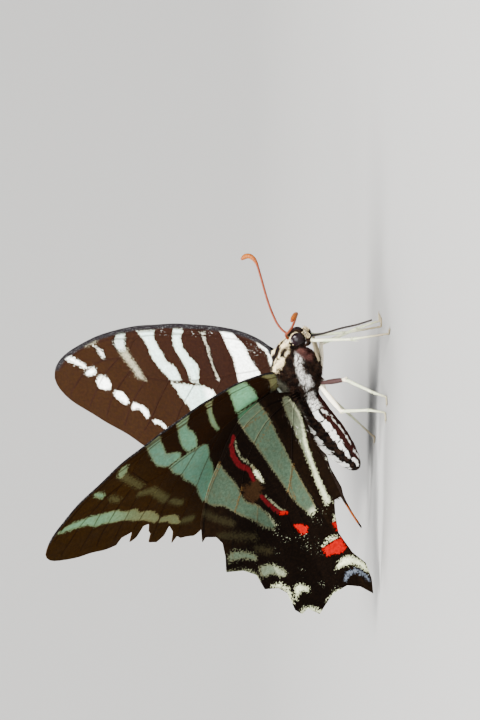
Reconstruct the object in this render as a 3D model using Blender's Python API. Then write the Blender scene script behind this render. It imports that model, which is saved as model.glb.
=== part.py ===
"""A worn zebra swallowtail at life size, standing on six feet with its wings half raised.

The floor is z = 0, the head points along +X and the left wings lie at +Y. The body and the
wings are drawn in a frame that stands on the hinge of the fore wings and is pitched head up.
Sizes are in millimetres until they become mesh coordinates.
"""
import bpy
import bmesh
from math import atan2, ceil, cos, hypot, pi, radians, sin
from mathutils import Matrix, Vector
from mathutils.geometry import delaunay_2d_cdt

MM = 0.001
GAP = 0.3                       # clear space between two pieces that touch

# Stance
HINGE_HEIGHT = 15.0             # fore wing hinge above the floor
BODY_PITCH = radians(20.0)      # head up
CENTRE_SHIFT = (9.645, 0.708)    # puts the origin under the middle of the whole insect

# Wings
FORE_LENGTH = 42.0              # hinge to apex
WING_THICKNESS = 0.5
EDGE_THICKNESS = 0.42
VEIN_HEIGHT = 0.12
VEIN_HALF_WIDTH = 0.34
VEIN_STEP = 3.0
SURFACE_STEP = 4.2

# How each wing is held: opened from the upright, twisted about its span, swept in its plane
FORE_HINGE = (0.0, 2.2, 0.0)
HIND_HINGE = (-3.5, 2.7, -1.1)
HELD = {
    "forewing_right": dict(opened=33.4, twist=24.4, sweep=-2.75),
    "forewing_left": dict(opened=32.8, twist=16.9, sweep=2.75),
    "hindwing_right": dict(opened=35.0, twist=-15.0, sweep=0.0),
    "hindwing_left": dict(opened=58.0, twist=-5.0, sweep=0.0),
}

# Wing outlines as (along the span, forward of the hinge)
FORE_COSTA = [(0.3, 0.7), (0.8, 2.2), (2.2, 3.2), (4.3, 4.2), (7.0, 5.0), (11.0, 5.5), (16.0, 5.7),
              (20.0, 5.5), (24.0, 5.2), (28.0, 4.5), (32.0, 3.4), (36.0, 1.8), (39.0, 0.2),
              (41.0, -1.6), (41.9, -3.4), (41.4, -5.2), (39.8, -6.9), (37.4, -8.5), (34.0, -10.4)]
FORE_MARGIN = [(30.4, -12.3), (27.0, -14.5), (24.0, -17.0), (21.6, -19.4), (19.0, -21.7)]
FORE_TATTER = [(31.8, -11.6), (30.2, -12.6), (29.3, -11.5), (27.4, -11.7), (28.0, -13.8),
               (26.8, -13.6), (25.4, -12.2), (24.4, -12.6), (24.5, -14.6), (24.2, -15.6),
               (24.7, -17.2), (23.4, -18.4), (22.0, -17.9), (20.9, -16.6), (20.4, -18.6),
               (20.8, -21.0), (19.8, -20.2), (19.2, -21.4), (17.8, -22.4)]
FORE_INNER = [(16.8, -23.2), (15.6, -23.0), (14.2, -21.4), (10.4, -16.2), (6.6, -11.2),
              (3.2, -6.6), (0.6, -2.6)]

HIND_COSTA = [(0.2, 1.2), (2.9, 2.9), (5.0, 3.0), (9.3, 2.6), (11.9, 1.4), (14.4, -0.3),
              (17.3, -2.3), (20.0, -4.7), (21.6, -6.6)]
HIND_APEX = [(23.0, -9.4), (22.9, -12.4)]
HIND_APEX_TORN = [(22.8, -8.9), (22.0, -8.6), (20.6, -9.6), (20.2, -11.0), (20.8, -12.8)]
HIND_MARGIN = [(21.9, -14.8), (19.6, -16.2), (18.2, -18.0), (18.2, -20.5), (16.3, -21.7),
               (15.5, -23.2), (15.8, -26.0), (15.2, -27.1), (14.0, -27.0), (12.8, -28.9),
               (11.4, -28.3), (9.5, -27.6)]
HIND_TAIL = [(7.0, -28.0), (5.3, -29.5), (4.1, -31.6), (3.2, -29.6), (2.8, -27.0), (3.8, -24.4)]
HIND_STRIP = [(8.2, -25.6), (6.7, -25.8), (6.1, -26.8), (5.9, -28.6), (5.6, -29.9), (5.4, -31.3),
              (5.05, -32.5), (4.55, -33.7), (4.25, -33.3), (4.5, -32.1), (4.8, -31.0),
              (4.95, -29.7), (5.05, -28.4), (4.8, -26.7), (3.9, -24.6)]
HIND_INNER = [(4.2, -20.6), (3.3, -18.2), (2.3, -16.2), (1.2, -16.2), (0.9, -11.0), (0.7, -6.0),
              (0.2, -2.0)]

# Main veins, in the same coordinates
FORE_VEINS = {
    "radius": [(0.8, 1.2), (5.0, 3.2), (12.0, 4.0), (20.0, 4.0), (24.2, 3.4), (26.2, 1.4)],
    "cubitus": [(0.8, -0.4), (4.0, -1.4), (8.0, -2.0), (12.0, -2.8), (15.0, -3.1), (20.2, -3.3),
                (24.0, -3.0)],
    "cell_end": [(26.2, 1.4), (25.3, -0.6), (24.0, -3.0)],
    "radial_3": [(24.2, 3.4), (30.0, 3.0), (35.5, 1.3), (40.2, -1.8)],
    "radial_4": [(28.4, 0.2), (32.0, -0.4), (36.0, -2.6), (39.4, -5.8)],
    "radial_5": [(26.2, 1.4), (29.5, -0.6), (33.0, -3.6), (36.4, -7.8)],
    "medial_1": [(25.3, -0.6), (28.5, -3.2), (31.5, -6.2), (33.6, -9.4)],
    "medial_2": [(24.0, -3.0), (27.0, -5.8), (29.2, -8.6), (30.6, -10.8)],
    "medial_3": [(20.2, -3.3), (22.7, -6.2), (25.3, -9.6), (27.0, -11.4)],
    "cubital_1": [(15.0, -3.1), (18.3, -6.6), (20.5, -9.5), (22.4, -12.8), (23.9, -16.4)],
    "cubital_2": [(10.0, -2.4), (12.6, -5.5), (14.5, -9.0), (16.0, -11.8), (18.0, -15.3),
                  (19.6, -19.6)],
    "anal": [(0.9, -2.0), (5.0, -7.6), (10.0, -14.4), (15.0, -21.6)],
}
HIND_VEINS = {
    "subcosta": [(0.9, 0.9), (5.0, 1.9), (10.0, 1.2), (14.6, -0.9), (19.3, -4.4), (22.0, -7.9)],
    "radius": [(0.9, 0.4), (6.0, -0.1), (11.0, -3.0), (14.0, -6.3), (16.6, -8.6), (19.0, -12.0),
               (20.8, -14.9)],
    "medial_1": [(12.8, -9.6), (15.0, -12.8), (17.0, -16.6), (17.8, -20.0)],
    "medial_2": [(11.2, -11.8), (12.6, -16.8), (14.0, -20.5), (15.2, -25.6)],
    "medial_3": [(9.8, -12.4), (10.4, -19.0), (11.5, -27.6)],
    "cubitus": [(0.9, -0.6), (3.0, -4.0), (5.2, -7.6), (7.7, -10.7), (9.8, -12.4), (11.2, -11.8),
                (12.8, -9.6), (14.0, -6.3)],
    "cubital_1": [(7.7, -10.7), (8.2, -18.0), (8.6, -27.0)],
    "cubital_2": [(5.2, -7.6), (5.3, -15.0), (5.0, -22.0), (4.3, -29.0)],
    "anal": [(0.9, -2.2), (2.1, -8.0), (2.8, -14.0), (3.7, -18.0)],
}

# Body sections as (forward, centre height, half width, half height)
THORAX = [(4.3, -2.3, 0.7, 0.6), (3.7, -2.2, 1.5, 1.3), (2.5, -2.3, 2.3, 2.25), (0.8, -2.5, 2.9, 3.4),
          (-1.2, -2.4, 3.1, 3.7), (-3.2, -2.4, 2.8, 3.1), (-4.8, -2.4, 2.15, 2.3),
          (-5.5, -2.4, 1.7, 1.8)]
ABDOMEN = [(-5.8, -2.4, 1.65, 1.75), (-7.5, -2.45, 1.9, 2.0), (-10.0, -2.75, 2.1, 2.25),
           (-13.0, -3.35, 2.2, 2.4), (-16.0, -4.0, 2.0, 2.15), (-18.3, -4.6, 1.5, 1.6),
           (-19.8, -5.0, 0.9, 0.95), (-20.4, -5.15, 0.35, 0.35)]
SEGMENTS = 7                    # rings of the abdomen that show as shallow waists
SEGMENT_DEPTH = 0.035
HEAD_CENTRE = (4.1, 0.0, -4.0)
HEAD_PITCH = radians(38.0)      # the face looks forward and down
HEAD_TURN = radians(8.0)        # and a little to the left
HEAD = [(1.45, 0.0, 0.45, 0.55), (1.1, 0.0, 0.9, 1.05), (0.6, 0.0, 1.1, 1.4), (0.0, 0.0, 1.15, 1.5),
        (-0.8, 0.0, 1.05, 1.3), (-1.5, 0.0, 0.75, 0.9)]
EYE_CENTRE = (0.44, 1.0, -0.38)
EYE_SIZE = (0.98, 0.62, 0.98)
PALP = [(-1.1, 0.8, -1.45), (-0.4, 0.84, -1.9), (0.4, 0.82, -1.9), (1.0, 0.78, -1.5)]
PALP_RADII = [0.24, 0.32, 0.32, 0.2]
PROBOSCIS = [(4.2, 0.0, -5.6), (3.95, 0.0, -6.5), (3.72, 0.0, -8.0), (3.69, 0.0, -10.4),
             (3.47, 0.0, -13.0), (3.5, 0.0, -15.1)]
PROBOSCIS_RADII = [0.26, 0.26, 0.26, 0.26, 0.25, 0.2]

# Feelers, from the crown of the head to the club
ANTENNA_LEFT = [(5.0, 0.55, -3.2), (5.5, 1.2, -2.55), (6.2, 2.0, -2.1), (7.1, 2.65, -1.9),
                (8.5, 3.25, -1.8), (10.1, 4.05, -1.8), (12.5, 5.3, -1.9), (14.2, 6.3, -1.9),
                (15.0, 6.9, -1.5), (15.2, 7.3, -0.8), (14.7, 7.7, 0.1)]
ANTENNA_RIGHT = [(5.92, -0.86, -3.08), (6.99, -1.97, -3.79), (8.46, -3.39, -4.67), (10.06, -4.72, -5.5),
                 (11.64, -5.98, -6.2), (12.55, -6.77, -6.54), (13.17, -7.82, -6.54), (13.48, -8.87, -6.29),
                 (13.56, -9.71, -5.97)]
FEELER_RADIUS = 0.25
CLUB_RADIUS = 0.42
CLUB_LENGTH = 3.6

# Legs in floor coordinates under the hinge: hip, knee, ankle, three points of the foot
LEGS = {
    "leg_fore_right": [(2.4, -1.1, 9.3), (6.9, -2.7, 10.5), (8.3, -4.6, 5.2), (9.6, -5.4, 0.9),
                       (9.9, -5.6, 0.15), (11.0, -6.2, 0.15)],
    "leg_fore_left": [(1.9, 1.3, 9.2), (4.5, 2.2, 10.1), (3.9, 3.6, 5.6), (4.1, 4.6, 0.9),
                      (4.3, 4.9, 0.15), (4.9, 5.9, 0.15)],
    "leg_mid_right": [(-1.2, -1.5, 8.8), (1.0, -3.9, 5.7), (0.15, -5.8, 2.1), (-0.1, -6.4, 0.6),
                      (-0.2, -6.7, 0.15), (-0.6, -7.8, 0.15)],
    "leg_mid_left": [(-1.0, 1.5, 8.8), (1.75, 4.0, 8.7), (2.7, 6.5, 3.4), (3.1, 7.4, 0.9),
                     (3.2, 7.7, 0.15), (3.7, 8.7, 0.15)],
    "leg_hind_right": [(-2.0, -1.1, 9.0), (-4.8, -3.4, 6.1), (-3.1, -5.6, 2.5), (-3.0, -6.2, 0.7),
                       (-3.1, -6.5, 0.15), (-3.6, -7.5, 0.15)],
    "leg_hind_left": [(-2.6, 1.5, 8.8), (-6.6, 3.8, 7.9), (-11.6, 5.3, 4.0), (-15.6, 6.0, 0.7),
                      (-16.1, 6.1, 0.15), (-17.3, 6.3, 0.15)],
}
LEG_RADII = [0.38, 0.34, 0.28, 0.26, 0.26, 0.25]
LEG_SIDES = 8

# Finishes as (colour, roughness)
FINISH = {
    "wing_under": ((0.30, 0.33, 0.27), 0.75),
    "wing_upper": ((0.16, 0.10, 0.07), 0.75),
    "fur": ((0.20, 0.17, 0.15), 0.9),
    "abdomen": ((0.45, 0.42, 0.38), 0.8),
    "eye": ((0.03, 0.02, 0.035), 0.15),
    "antenna": ((0.62, 0.22, 0.06), 0.5),
    "leg": ((0.62, 0.62, 0.50), 0.6),
    "proboscis": ((0.03, 0.02, 0.02), 0.35),
}


def clear_scene():
    """Remove what the file was opened with."""
    for obj in list(bpy.data.objects):
        bpy.data.objects.remove(obj, do_unlink=True)


def finish(name, node):
    """A plain material of the node's own."""
    colour, roughness = FINISH[name]
    material = bpy.data.materials.new(node + "_" + name)
    material.use_nodes = True
    shader = material.node_tree.nodes["Principled BSDF"]
    shader.inputs["Base Color"].default_value = (*colour, 1.0)
    shader.inputs["Roughness"].default_value = roughness
    shader.inputs["Metallic"].default_value = 0.0
    material.diffuse_color = (*colour, 1.0)
    return material


def add_object(name, bm, parent, look=None, smooth=35.0):
    """Make a scene object of a bmesh whose coordinates are already in metres."""
    bmesh.ops.recalc_face_normals(bm, faces=bm.faces)
    mesh = bpy.data.meshes.new(name)
    bm.to_mesh(mesh)
    bm.free()
    mesh.shade_smooth()
    mesh.set_sharp_from_angle(angle=radians(smooth))
    obj = bpy.data.objects.new(name, mesh)
    bpy.context.scene.collection.objects.link(obj)
    obj.parent = parent
    if look:
        mesh.materials.append(finish(look, name))
    return obj


def add_empty(name, location, pitch=0.0, parent=None):
    """A plain axis to hang pieces on."""
    obj = bpy.data.objects.new(name, None)
    obj.location = Vector(location) * MM
    obj.rotation_euler = (0.0, -pitch, 0.0)
    obj.parent = parent
    bpy.context.scene.collection.objects.link(obj)
    return obj


def as_guide(obj):
    """Keep a cutter out of the model."""
    obj.hide_render = True
    obj.display_type = "WIRE"
    return obj


def cut_clear(obj, cutters):
    """Take away from a piece whatever comes too close to its neighbours, and keep the main body."""
    for cutter in cutters:
        cut = obj.modifiers.new("clear_of_" + cutter.name, "BOOLEAN")
        cut.operation = "DIFFERENCE"
        cut.object = cutter
    bpy.context.view_layer.update()
    graph = bpy.context.evaluated_depsgraph_get()
    bm = bmesh.new()
    bm.from_mesh(obj.evaluated_get(graph).to_mesh())
    obj.modifiers.clear()
    islands, left = [], set(bm.verts)
    while left:
        island, edge_of = set(), [left.pop()]
        while edge_of:
            vert = edge_of.pop()
            island.add(vert)
            reached = {edge.other_vert(vert) for edge in vert.link_edges} & left
            left -= reached
            edge_of += reached
        islands.append(island)
    main_body = max(islands, key=len)
    bmesh.ops.delete(bm, geom=[v for v in bm.verts if v not in main_body], context="VERTS")
    bmesh.ops.triangulate(bm, faces=bm.faces)
    bm.to_mesh(obj.data)
    bm.free()


def skin_rings(bm, rings):
    """Bridge closed rings of vertices one after another and close both ends."""
    loops = []
    for ring in rings:
        verts = [bm.verts.new(p) for p in ring]
        loops.append([bm.edges.new((verts[i], verts[i - 1])) for i in range(len(verts))])
    for first, second in zip(loops, loops[1:]):
        bmesh.ops.bridge_loops(bm, edges=first + second)
    bmesh.ops.contextual_create(bm, geom=loops[0])
    bmesh.ops.contextual_create(bm, geom=loops[-1])
    bmesh.ops.triangulate(bm, faces=bm.faces)


def smooth_sections(stations, steps):
    """Read a smooth curve through each column of a list of sections."""
    out = []
    last = len(stations) - 1
    for i in range(last):
        before, here = stations[max(i - 1, 0)], stations[i]
        after, beyond = stations[i + 1], stations[min(i + 2, last)]
        for k in range(steps):
            t = k / steps
            out.append(tuple(0.5 * (2 * b + (c - a) * t + (2 * a - 5 * b + 4 * c - d) * t * t
                                    + (3 * b - a - 3 * c + d) * t ** 3)
                             for a, b, c, d in zip(before, here, after, beyond)))
    out.append(tuple(stations[-1]))
    return out


def oval_body(stations, sides, steps, grow=0.0, waist=None):
    """Loft upright ovals from front to back along the X axis."""
    bm = bmesh.new()
    rings = []
    sections = smooth_sections(stations, steps)
    start, end = sections[0][0], sections[-1][0]
    for k, (x, z, half_width, half_height) in enumerate(sections):
        if waist:
            share = (x - start) / (end - start) * SEGMENTS
            pinch = 1.0 - waist * max(0.0, cos(2 * pi * share)) ** 4
            half_width, half_height = half_width * pinch, half_height * pinch
        before, after = sections[max(k - 1, 0)], sections[min(k + 1, len(sections) - 1)]
        lean = atan2(after[3] - before[3], before[0] - after[0])
        ahead = grow if x == start else -grow if x == end else grow * sin(lean)
        wide, high = half_width + grow * cos(lean), half_height + grow * cos(lean)
        angles = [2 * pi * (i + (0.5 if grow else 0.0)) / sides for i in range(sides)]
        rings.append([Vector((x + ahead, wide * cos(a), z + high * sin(a))) * MM for a in angles])
    skin_rings(bm, rings)
    return bm


def tube(points, radii, sides, flat=False):
    """Loft round sections along a bent line, with mitred corners."""
    points = [Vector(p) for p in points]
    bm = bmesh.new()
    rings = []
    side = None
    for i, (point, radius) in enumerate(zip(points, radii)):
        back = points[i] - points[i - 1] if i else points[1] - points[0]
        ahead = points[i + 1] - points[i] if i + 1 < len(points) else back
        along = (back.normalized() + ahead.normalized()).normalized()
        if side is None:
            side = along.orthogonal().normalized()
        side = (side - along * side.dot(along)).normalized()
        up = along.cross(side)
        ring = [point + (side * cos(2 * pi * k / sides) + up * sin(2 * pi * k / sides)) * radius
                for k in range(sides)]
        if flat:
            ring = [Vector((p.x, p.y, max(p.z, 0.0))) for p in ring]
        rings.append([p * MM for p in ring])
    skin_rings(bm, rings)
    return bm


def ellipsoid(centre, size, grow=0.0, segments=18, rings=12):
    """A round body of three half axes."""
    bm = bmesh.new()
    bmesh.ops.create_uvsphere(bm, u_segments=segments, v_segments=rings, radius=1.0)
    scale = Matrix.Diagonal([(s + grow) * MM for s in size] + [1.0])
    bmesh.ops.transform(bm, matrix=Matrix.Translation(Vector(centre) * MM) @ scale, verts=bm.verts)
    bmesh.ops.triangulate(bm, faces=bm.faces)
    return bm


def resample(line, step):
    """Points at about even spacing along a polyline, its own points kept."""
    out = [line[0]]
    for a, b in zip(line, line[1:]):
        count = max(1, round(hypot(b[0] - a[0], b[1] - a[1]) / step))
        out += [(a[0] + (b[0] - a[0]) * k / count, a[1] + (b[1] - a[1]) * k / count)
                for k in range(1, count + 1)]
    return out


def beside(line, offset):
    """A polyline moved sideways by a fixed distance."""
    out = []
    for i, point in enumerate(line):
        a, b = line[max(i - 1, 0)], line[min(i + 1, len(line) - 1)]
        turn = atan2(b[1] - a[1], b[0] - a[0]) + pi / 2
        out.append((point[0] + offset * cos(turn), point[1] + offset * sin(turn)))
    return out


def distance_to_line(p, line):
    """Shortest distance from a point to a polyline."""
    best = 1e9
    for a, b in zip(line, line[1:]):
        dx, dy = b[0] - a[0], b[1] - a[1]
        t = ((p[0] - a[0]) * dx + (p[1] - a[1]) * dy) / (dx * dx + dy * dy)
        t = min(1.0, max(0.0, t))
        best = min(best, hypot(p[0] - a[0] - t * dx, p[1] - a[1] - t * dy))
    return best


def inside(p, outline):
    """Whether a point lies in a closed outline."""
    hit = False
    for a, b in zip(outline, outline[1:] + outline[:1]):
        if (a[1] > p[1]) != (b[1] > p[1]):
            hit ^= p[0] < (b[0] - a[0]) * (p[1] - a[1]) / (b[1] - a[1]) + a[0]
    return hit


def ease(value, low, high):
    """A soft step from 0 at low to 1 at high."""
    t = min(1.0, max(0.0, (value - low) / (high - low)))
    return t * t * (3.0 - 2.0 * t)


def fore_camber(span, forward):
    """Height of the fore wing's membrane over its plane: arched in front, lifted at the rear."""
    arch = 0.35 * ease(forward, -6.0, 3.0) * ease(span, 2.0, 10.0)
    return 0.3 * ease(-forward, 1.0, 5.0) * ease(14.0 - span, 0.0, 6.0) + arch


def hind_camber(span, forward):
    """The hind wing passes under the fore wing and its inner edge curls down."""
    tuck = -0.75 * ease(forward, -7.0, 2.0)
    curl = -0.5 * ease(2.6 - span, 0.0, 2.0) * ease(-forward, 1.0, 5.0)
    return tuck + curl


def flat_triangles(outline, veins):
    """Divide a wing's outline into triangles that follow its veins."""
    closed = outline + outline[:1]
    points, edges = list(outline), [(i, (i + 1) % len(outline)) for i in range(len(outline))]
    lines = {name: resample(line, VEIN_STEP) for name, line in veins.items()}
    for line in lines.values():
        for offset in (-VEIN_HALF_WIDTH, 0.0, VEIN_HALF_WIDTH):
            kept = [p for p in beside(line, offset)
                    if inside(p, outline) and distance_to_line(p, closed) > 0.3]
            first = len(points)
            points += kept
            edges += [(first + i, first + i + 1) for i in range(len(kept) - 1)
                      if hypot(kept[i][0] - kept[i + 1][0],
                               kept[i][1] - kept[i + 1][1]) < 2 * VEIN_STEP]
    low = [min(p[i] for p in outline) for i in (0, 1)]
    high = [max(p[i] for p in outline) for i in (0, 1)]
    for row in range(ceil((high[1] - low[1]) / SURFACE_STEP)):
        for column in range(ceil((high[0] - low[0]) / SURFACE_STEP)):
            p = (low[0] + (column + 0.5 * (row % 2) + 0.3) * SURFACE_STEP,
                 low[1] + (row + 0.5) * SURFACE_STEP)
            far = min(distance_to_line(p, line) for line in lines.values())
            if inside(p, outline) and far > 1.1 and distance_to_line(p, closed) > 1.1:
                points.append(p)
    result = delaunay_2d_cdt([Vector(p) for p in points], edges, [], 1, 1e-5)
    return [tuple(v) for v in result[0]], [tuple(face) for face in result[2]], lines


def wing(name, outline, veins, camber, hinge, look, parent):
    """A membrane of even thickness with its veins raised on both faces."""
    side = 1.0 if name.endswith("left") else -1.0
    verts, faces, lines = flat_triangles(outline, veins)
    closed = outline + outline[:1]
    bm = bmesh.new()
    sheets = []
    for face_side in (1.0, -1.0):
        sheet = []
        for span, forward in verts:
            vein = min(distance_to_line((span, forward), line) for line in lines.values())
            rim = ease(distance_to_line((span, forward), closed), 0.0, 0.8)
            half = 0.5 * (EDGE_THICKNESS + (WING_THICKNESS - EDGE_THICKNESS) * rim)
            half += VEIN_HEIGHT * max(0.0, 1.0 - vein / VEIN_HALF_WIDTH) * rim
            sheet.append(bm.verts.new(Vector((forward, side * span,
                                              camber(span, forward) + face_side * half)) * MM))
        sheets.append(sheet)
    top, bottom = sheets
    rim_edges = {}
    for face in faces:
        bm.faces.new([top[i] for i in face])
        bm.faces.new([bottom[i] for i in reversed(face)])
        for a, b in zip(face, face[1:] + face[:1]):
            rim_edges[(a, b)] = rim_edges.get((a, b), 0) + 1
    for a, b in rim_edges:
        if (b, a) not in rim_edges:
            bm.faces.new((top[a], bottom[a], bottom[b]))
            bm.faces.new((top[a], bottom[b], top[b]))
    obj = add_object(name, bm, parent, look, smooth=50.0)
    held = HELD[name]
    obj.rotation_mode = "ZYX"
    obj.rotation_euler = (side * (pi / 2 - radians(held["opened"])), radians(held["twist"]),
                          side * radians(held["sweep"]))
    obj.location = Vector((hinge[0], side * hinge[1], hinge[2])) * MM
    return obj


def build_wings(body, clearances):
    """Four worn wings; the left hind wing has lost its tail but for a narrow strip."""
    costa = smooth_sections(FORE_COSTA, 2)
    inner = smooth_sections(FORE_INNER, 2)
    fore_left = costa + smooth_sections(FORE_MARGIN, 2) + inner
    fore_right = costa + FORE_TATTER + inner
    hind_left = smooth_sections(HIND_COSTA + HIND_APEX, 2) + HIND_MARGIN + HIND_STRIP + HIND_INNER
    hind_right = smooth_sections(HIND_COSTA, 2) + HIND_APEX_TORN + HIND_MARGIN + HIND_TAIL + HIND_INNER
    for name, outline in (("forewing_left", fore_left), ("forewing_right", fore_right)):
        look = "wing_upper" if name.endswith("left") else "wing_under"
        cut_clear(wing(name, outline, FORE_VEINS, fore_camber, FORE_HINGE, look, body), clearances)
    for name, outline in (("hindwing_left", hind_left), ("hindwing_right", hind_right)):
        look = "wing_upper" if name.endswith("left") else "wing_under"
        cut_clear(wing(name, outline, HIND_VEINS, hind_camber, HIND_HINGE, look, body), clearances)


def build_body(body):
    """Thorax, abdomen, head, eyes, palps and tongue; returns the clearances round them."""
    add_object("thorax", oval_body(THORAX, 24, 2), body, "fur")
    thorax_clear = as_guide(add_object("thorax_clearance", oval_body(THORAX, 24, 2, GAP), body))
    add_object("abdomen", oval_body(ABDOMEN, 20, 5, 0.0, SEGMENT_DEPTH), body, "abdomen")
    abdomen_clear = as_guide(add_object("abdomen_clearance", oval_body(ABDOMEN, 20, 2, GAP), body))

    neck = add_empty("neck", HEAD_CENTRE, 0.0, body)
    neck.rotation_euler.z = HEAD_TURN
    skull = add_empty("head_axis", (0.0, 0.0, 0.0), -HEAD_PITCH, neck)
    head = add_object("head", oval_body(HEAD, 20, 2), skull, "fur")
    head_clear = as_guide(add_object("head_clearance", oval_body(HEAD, 20, 2, GAP), skull))
    pockets = []
    for side, word in ((1.0, "left"), (-1.0, "right")):
        centre = (EYE_CENTRE[0], side * EYE_CENTRE[1], EYE_CENTRE[2])
        add_object("eye_" + word, ellipsoid(centre, EYE_SIZE), neck, "eye")
        socket = ellipsoid(centre, EYE_SIZE, GAP)
        pockets.append(as_guide(add_object("eye_clearance_" + word, socket, neck)))
        line = [(x, side * y, z) for x, y, z in PALP]
        palp = add_object("palp_" + word, tube(line, PALP_RADII, 8), neck, "fur")
        cut_clear(palp, [head_clear, pockets[-1]])
    cut_clear(head, [thorax_clear] + pockets)
    tongue = add_object("proboscis", tube(PROBOSCIS, PROBOSCIS_RADII, 8), body, "proboscis")
    cut_clear(tongue, [head_clear])
    return thorax_clear, abdomen_clear, head_clear


def build_feelers(body, head_clear):
    """Two feelers that end in a club bent upwards."""
    for name, points in (("antenna_left", ANTENNA_LEFT), ("antenna_right", ANTENNA_RIGHT)):
        path = smooth_sections(points, 2)
        lengths = [0.0]
        for a, b in zip(path, path[1:]):
            lengths.append(lengths[-1] + (Vector(b) - Vector(a)).length)
        radii = []
        for travelled in lengths:
            left = lengths[-1] - travelled
            club = ease(CLUB_LENGTH - left, 0.0, CLUB_LENGTH * 0.6) * ease(left, -0.5, 1.0)
            radii.append(FEELER_RADIUS + (CLUB_RADIUS - FEELER_RADIUS) * club)
        feeler = add_object(name, tube(path, radii, 8), body, "antenna")
        cut_clear(feeler, [head_clear])


def leg_path(points):
    """Hip, knee, ankle, heel and toe, with short arcs at the knee and the ankle."""
    corners = [Vector(p) for p in points]
    path = [corners[0]]
    radii = [LEG_RADII[0]]
    for i in (1, 2):
        back = (corners[i - 1] - corners[i]).normalized() * 0.5
        ahead = (corners[i + 1] - corners[i]).normalized() * 0.5
        path += [corners[i] + back, corners[i] + (back + ahead) * 0.2, corners[i] + ahead]
        radii += [LEG_RADII[i] * 1.02, LEG_RADII[i] * 1.06, LEG_RADII[i]]
    return path + corners[3:], radii + LEG_RADII[3:]


def build_legs(ground, clearances):
    """Six legs, each with a small flat under its foot."""
    for name, points in LEGS.items():
        path, radii = leg_path(points)
        leg = add_object(name, tube(path, radii, LEG_SIDES, flat=True), ground, "leg")
        cut_clear(leg, clearances)


def main():
    clear_scene()
    ground = add_empty("under_hinge", (CENTRE_SHIFT[0], CENTRE_SHIFT[1], 0.0))
    body = add_empty("body_axis", (0.0, 0.0, HINGE_HEIGHT), BODY_PITCH, ground)
    thorax_clear, abdomen_clear, head_clear = build_body(body)
    build_wings(body, [thorax_clear, abdomen_clear])
    build_feelers(body, head_clear)
    build_legs(ground, [thorax_clear])


main()
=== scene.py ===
"""A dressed zebra swallowtail at life size, laid over the solids of the same part.

Lengths are millimetres until a mesh is finished. The body frame has x towards the head, y to the
insect's left and z to its back. It stands on the hinge of the fore wings and is pitched head up.
Wing coordinates are (along the span, forward of the hinge).
"""
import logging
from dataclasses import dataclass, replace
from enum import Enum
from math import cos, hypot, pi, radians, sin
from typing import Callable, Iterable, Optional, Sequence, Union

import bmesh
import bpy
import numpy as np
from mathutils import Euler, Matrix, Vector


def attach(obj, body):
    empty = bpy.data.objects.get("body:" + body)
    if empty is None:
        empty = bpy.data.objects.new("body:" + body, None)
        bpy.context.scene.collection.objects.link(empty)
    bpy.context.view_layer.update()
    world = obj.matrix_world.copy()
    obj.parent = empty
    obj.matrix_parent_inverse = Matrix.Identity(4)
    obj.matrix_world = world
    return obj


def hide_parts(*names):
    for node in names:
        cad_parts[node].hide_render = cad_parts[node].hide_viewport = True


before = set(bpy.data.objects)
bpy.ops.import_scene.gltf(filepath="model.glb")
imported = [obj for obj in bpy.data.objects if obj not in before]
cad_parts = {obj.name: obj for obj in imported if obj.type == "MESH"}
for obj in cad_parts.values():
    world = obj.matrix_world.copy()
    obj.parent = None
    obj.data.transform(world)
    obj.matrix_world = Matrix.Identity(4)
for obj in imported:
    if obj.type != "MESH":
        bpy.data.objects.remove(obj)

LOG = logging.getLogger("swallowtail")
MM = 0.001
SEED = 20
# Wing coordinates over this are the wing's UV map
WING_PLANE = 50.0
# Most tufts in one piece
TUFT_LIMIT = 11500
Array = np.ndarray
Generator = np.random.Generator
BMesh = bmesh.types.BMesh
Material = bpy.types.Material
Mesh = bpy.types.Mesh
Node = bpy.types.Node
NodeTree = bpy.types.NodeTree
Object = bpy.types.Object
Colour = tuple[float, float, float]
Point = tuple[float, ...]
Line = list[Point]

# Stance, as in the solids
HINGE_HEIGHT = 15.0
BODY_PITCH = radians(20.0)
CENTRE_SHIFT = (9.645, 0.708)
FORE_HINGE = (0.0, 2.2, 0.0)
HIND_HINGE = (-3.5, 2.7, -1.1)

GROUND = Matrix.Translation((CENTRE_SHIFT[0], CENTRE_SHIFT[1], 0.0))
BODY = GROUND @ Matrix.Translation((0.0, 0.0, HINGE_HEIGHT)) @ Matrix.Rotation(-BODY_PITCH, 4, "Y")
HEAD_CENTRE = (4.1, 0.0, -4.0)
HEAD_PITCH = radians(38.0)
HEAD_TURN = radians(8.0)
NECK = Matrix.Translation(HEAD_CENTRE) @ Matrix.Rotation(HEAD_TURN, 4, "Z")
SKULL = NECK @ Matrix.Rotation(HEAD_PITCH, 4, "Y")


class Side(Enum):
    """The insect's own left and right."""

    LEFT = 1.0
    RIGHT = -1.0


class Face(Enum):
    """The two faces of a wing."""

    UPPER = 0
    UNDER = 1


def smooth(points: Sequence[Point], steps: int) -> Line:
    """Read a smooth curve through each column of a list.

    Args:
        points: the values to pass through.
        steps: new values for each stretch.

    Returns:
        The smooth list, both ends kept.
    """
    out: Line = []
    last = len(points) - 1
    for i in range(last):
        before, here = points[max(i - 1, 0)], points[i]
        after, beyond = points[i + 1], points[min(i + 2, last)]
        for k in range(steps):
            t = k / steps
            out.append(tuple(0.5 * (2 * b + (c - a) * t + (2 * a - 5 * b + 4 * c - d) * t * t
                                    + (3 * b - a - 3 * c + d) * t ** 3)
                             for a, b, c, d in zip(before, here, after, beyond)))
    out.append(tuple(points[-1]))
    return out


def ease(value: Array, low: float, high: float) -> Array:
    """A soft step from 0 at low to 1 at high."""
    t = np.clip((value - low) / (high - low), 0.0, 1.0)
    return t * t * (3.0 - 2.0 * t)


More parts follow.
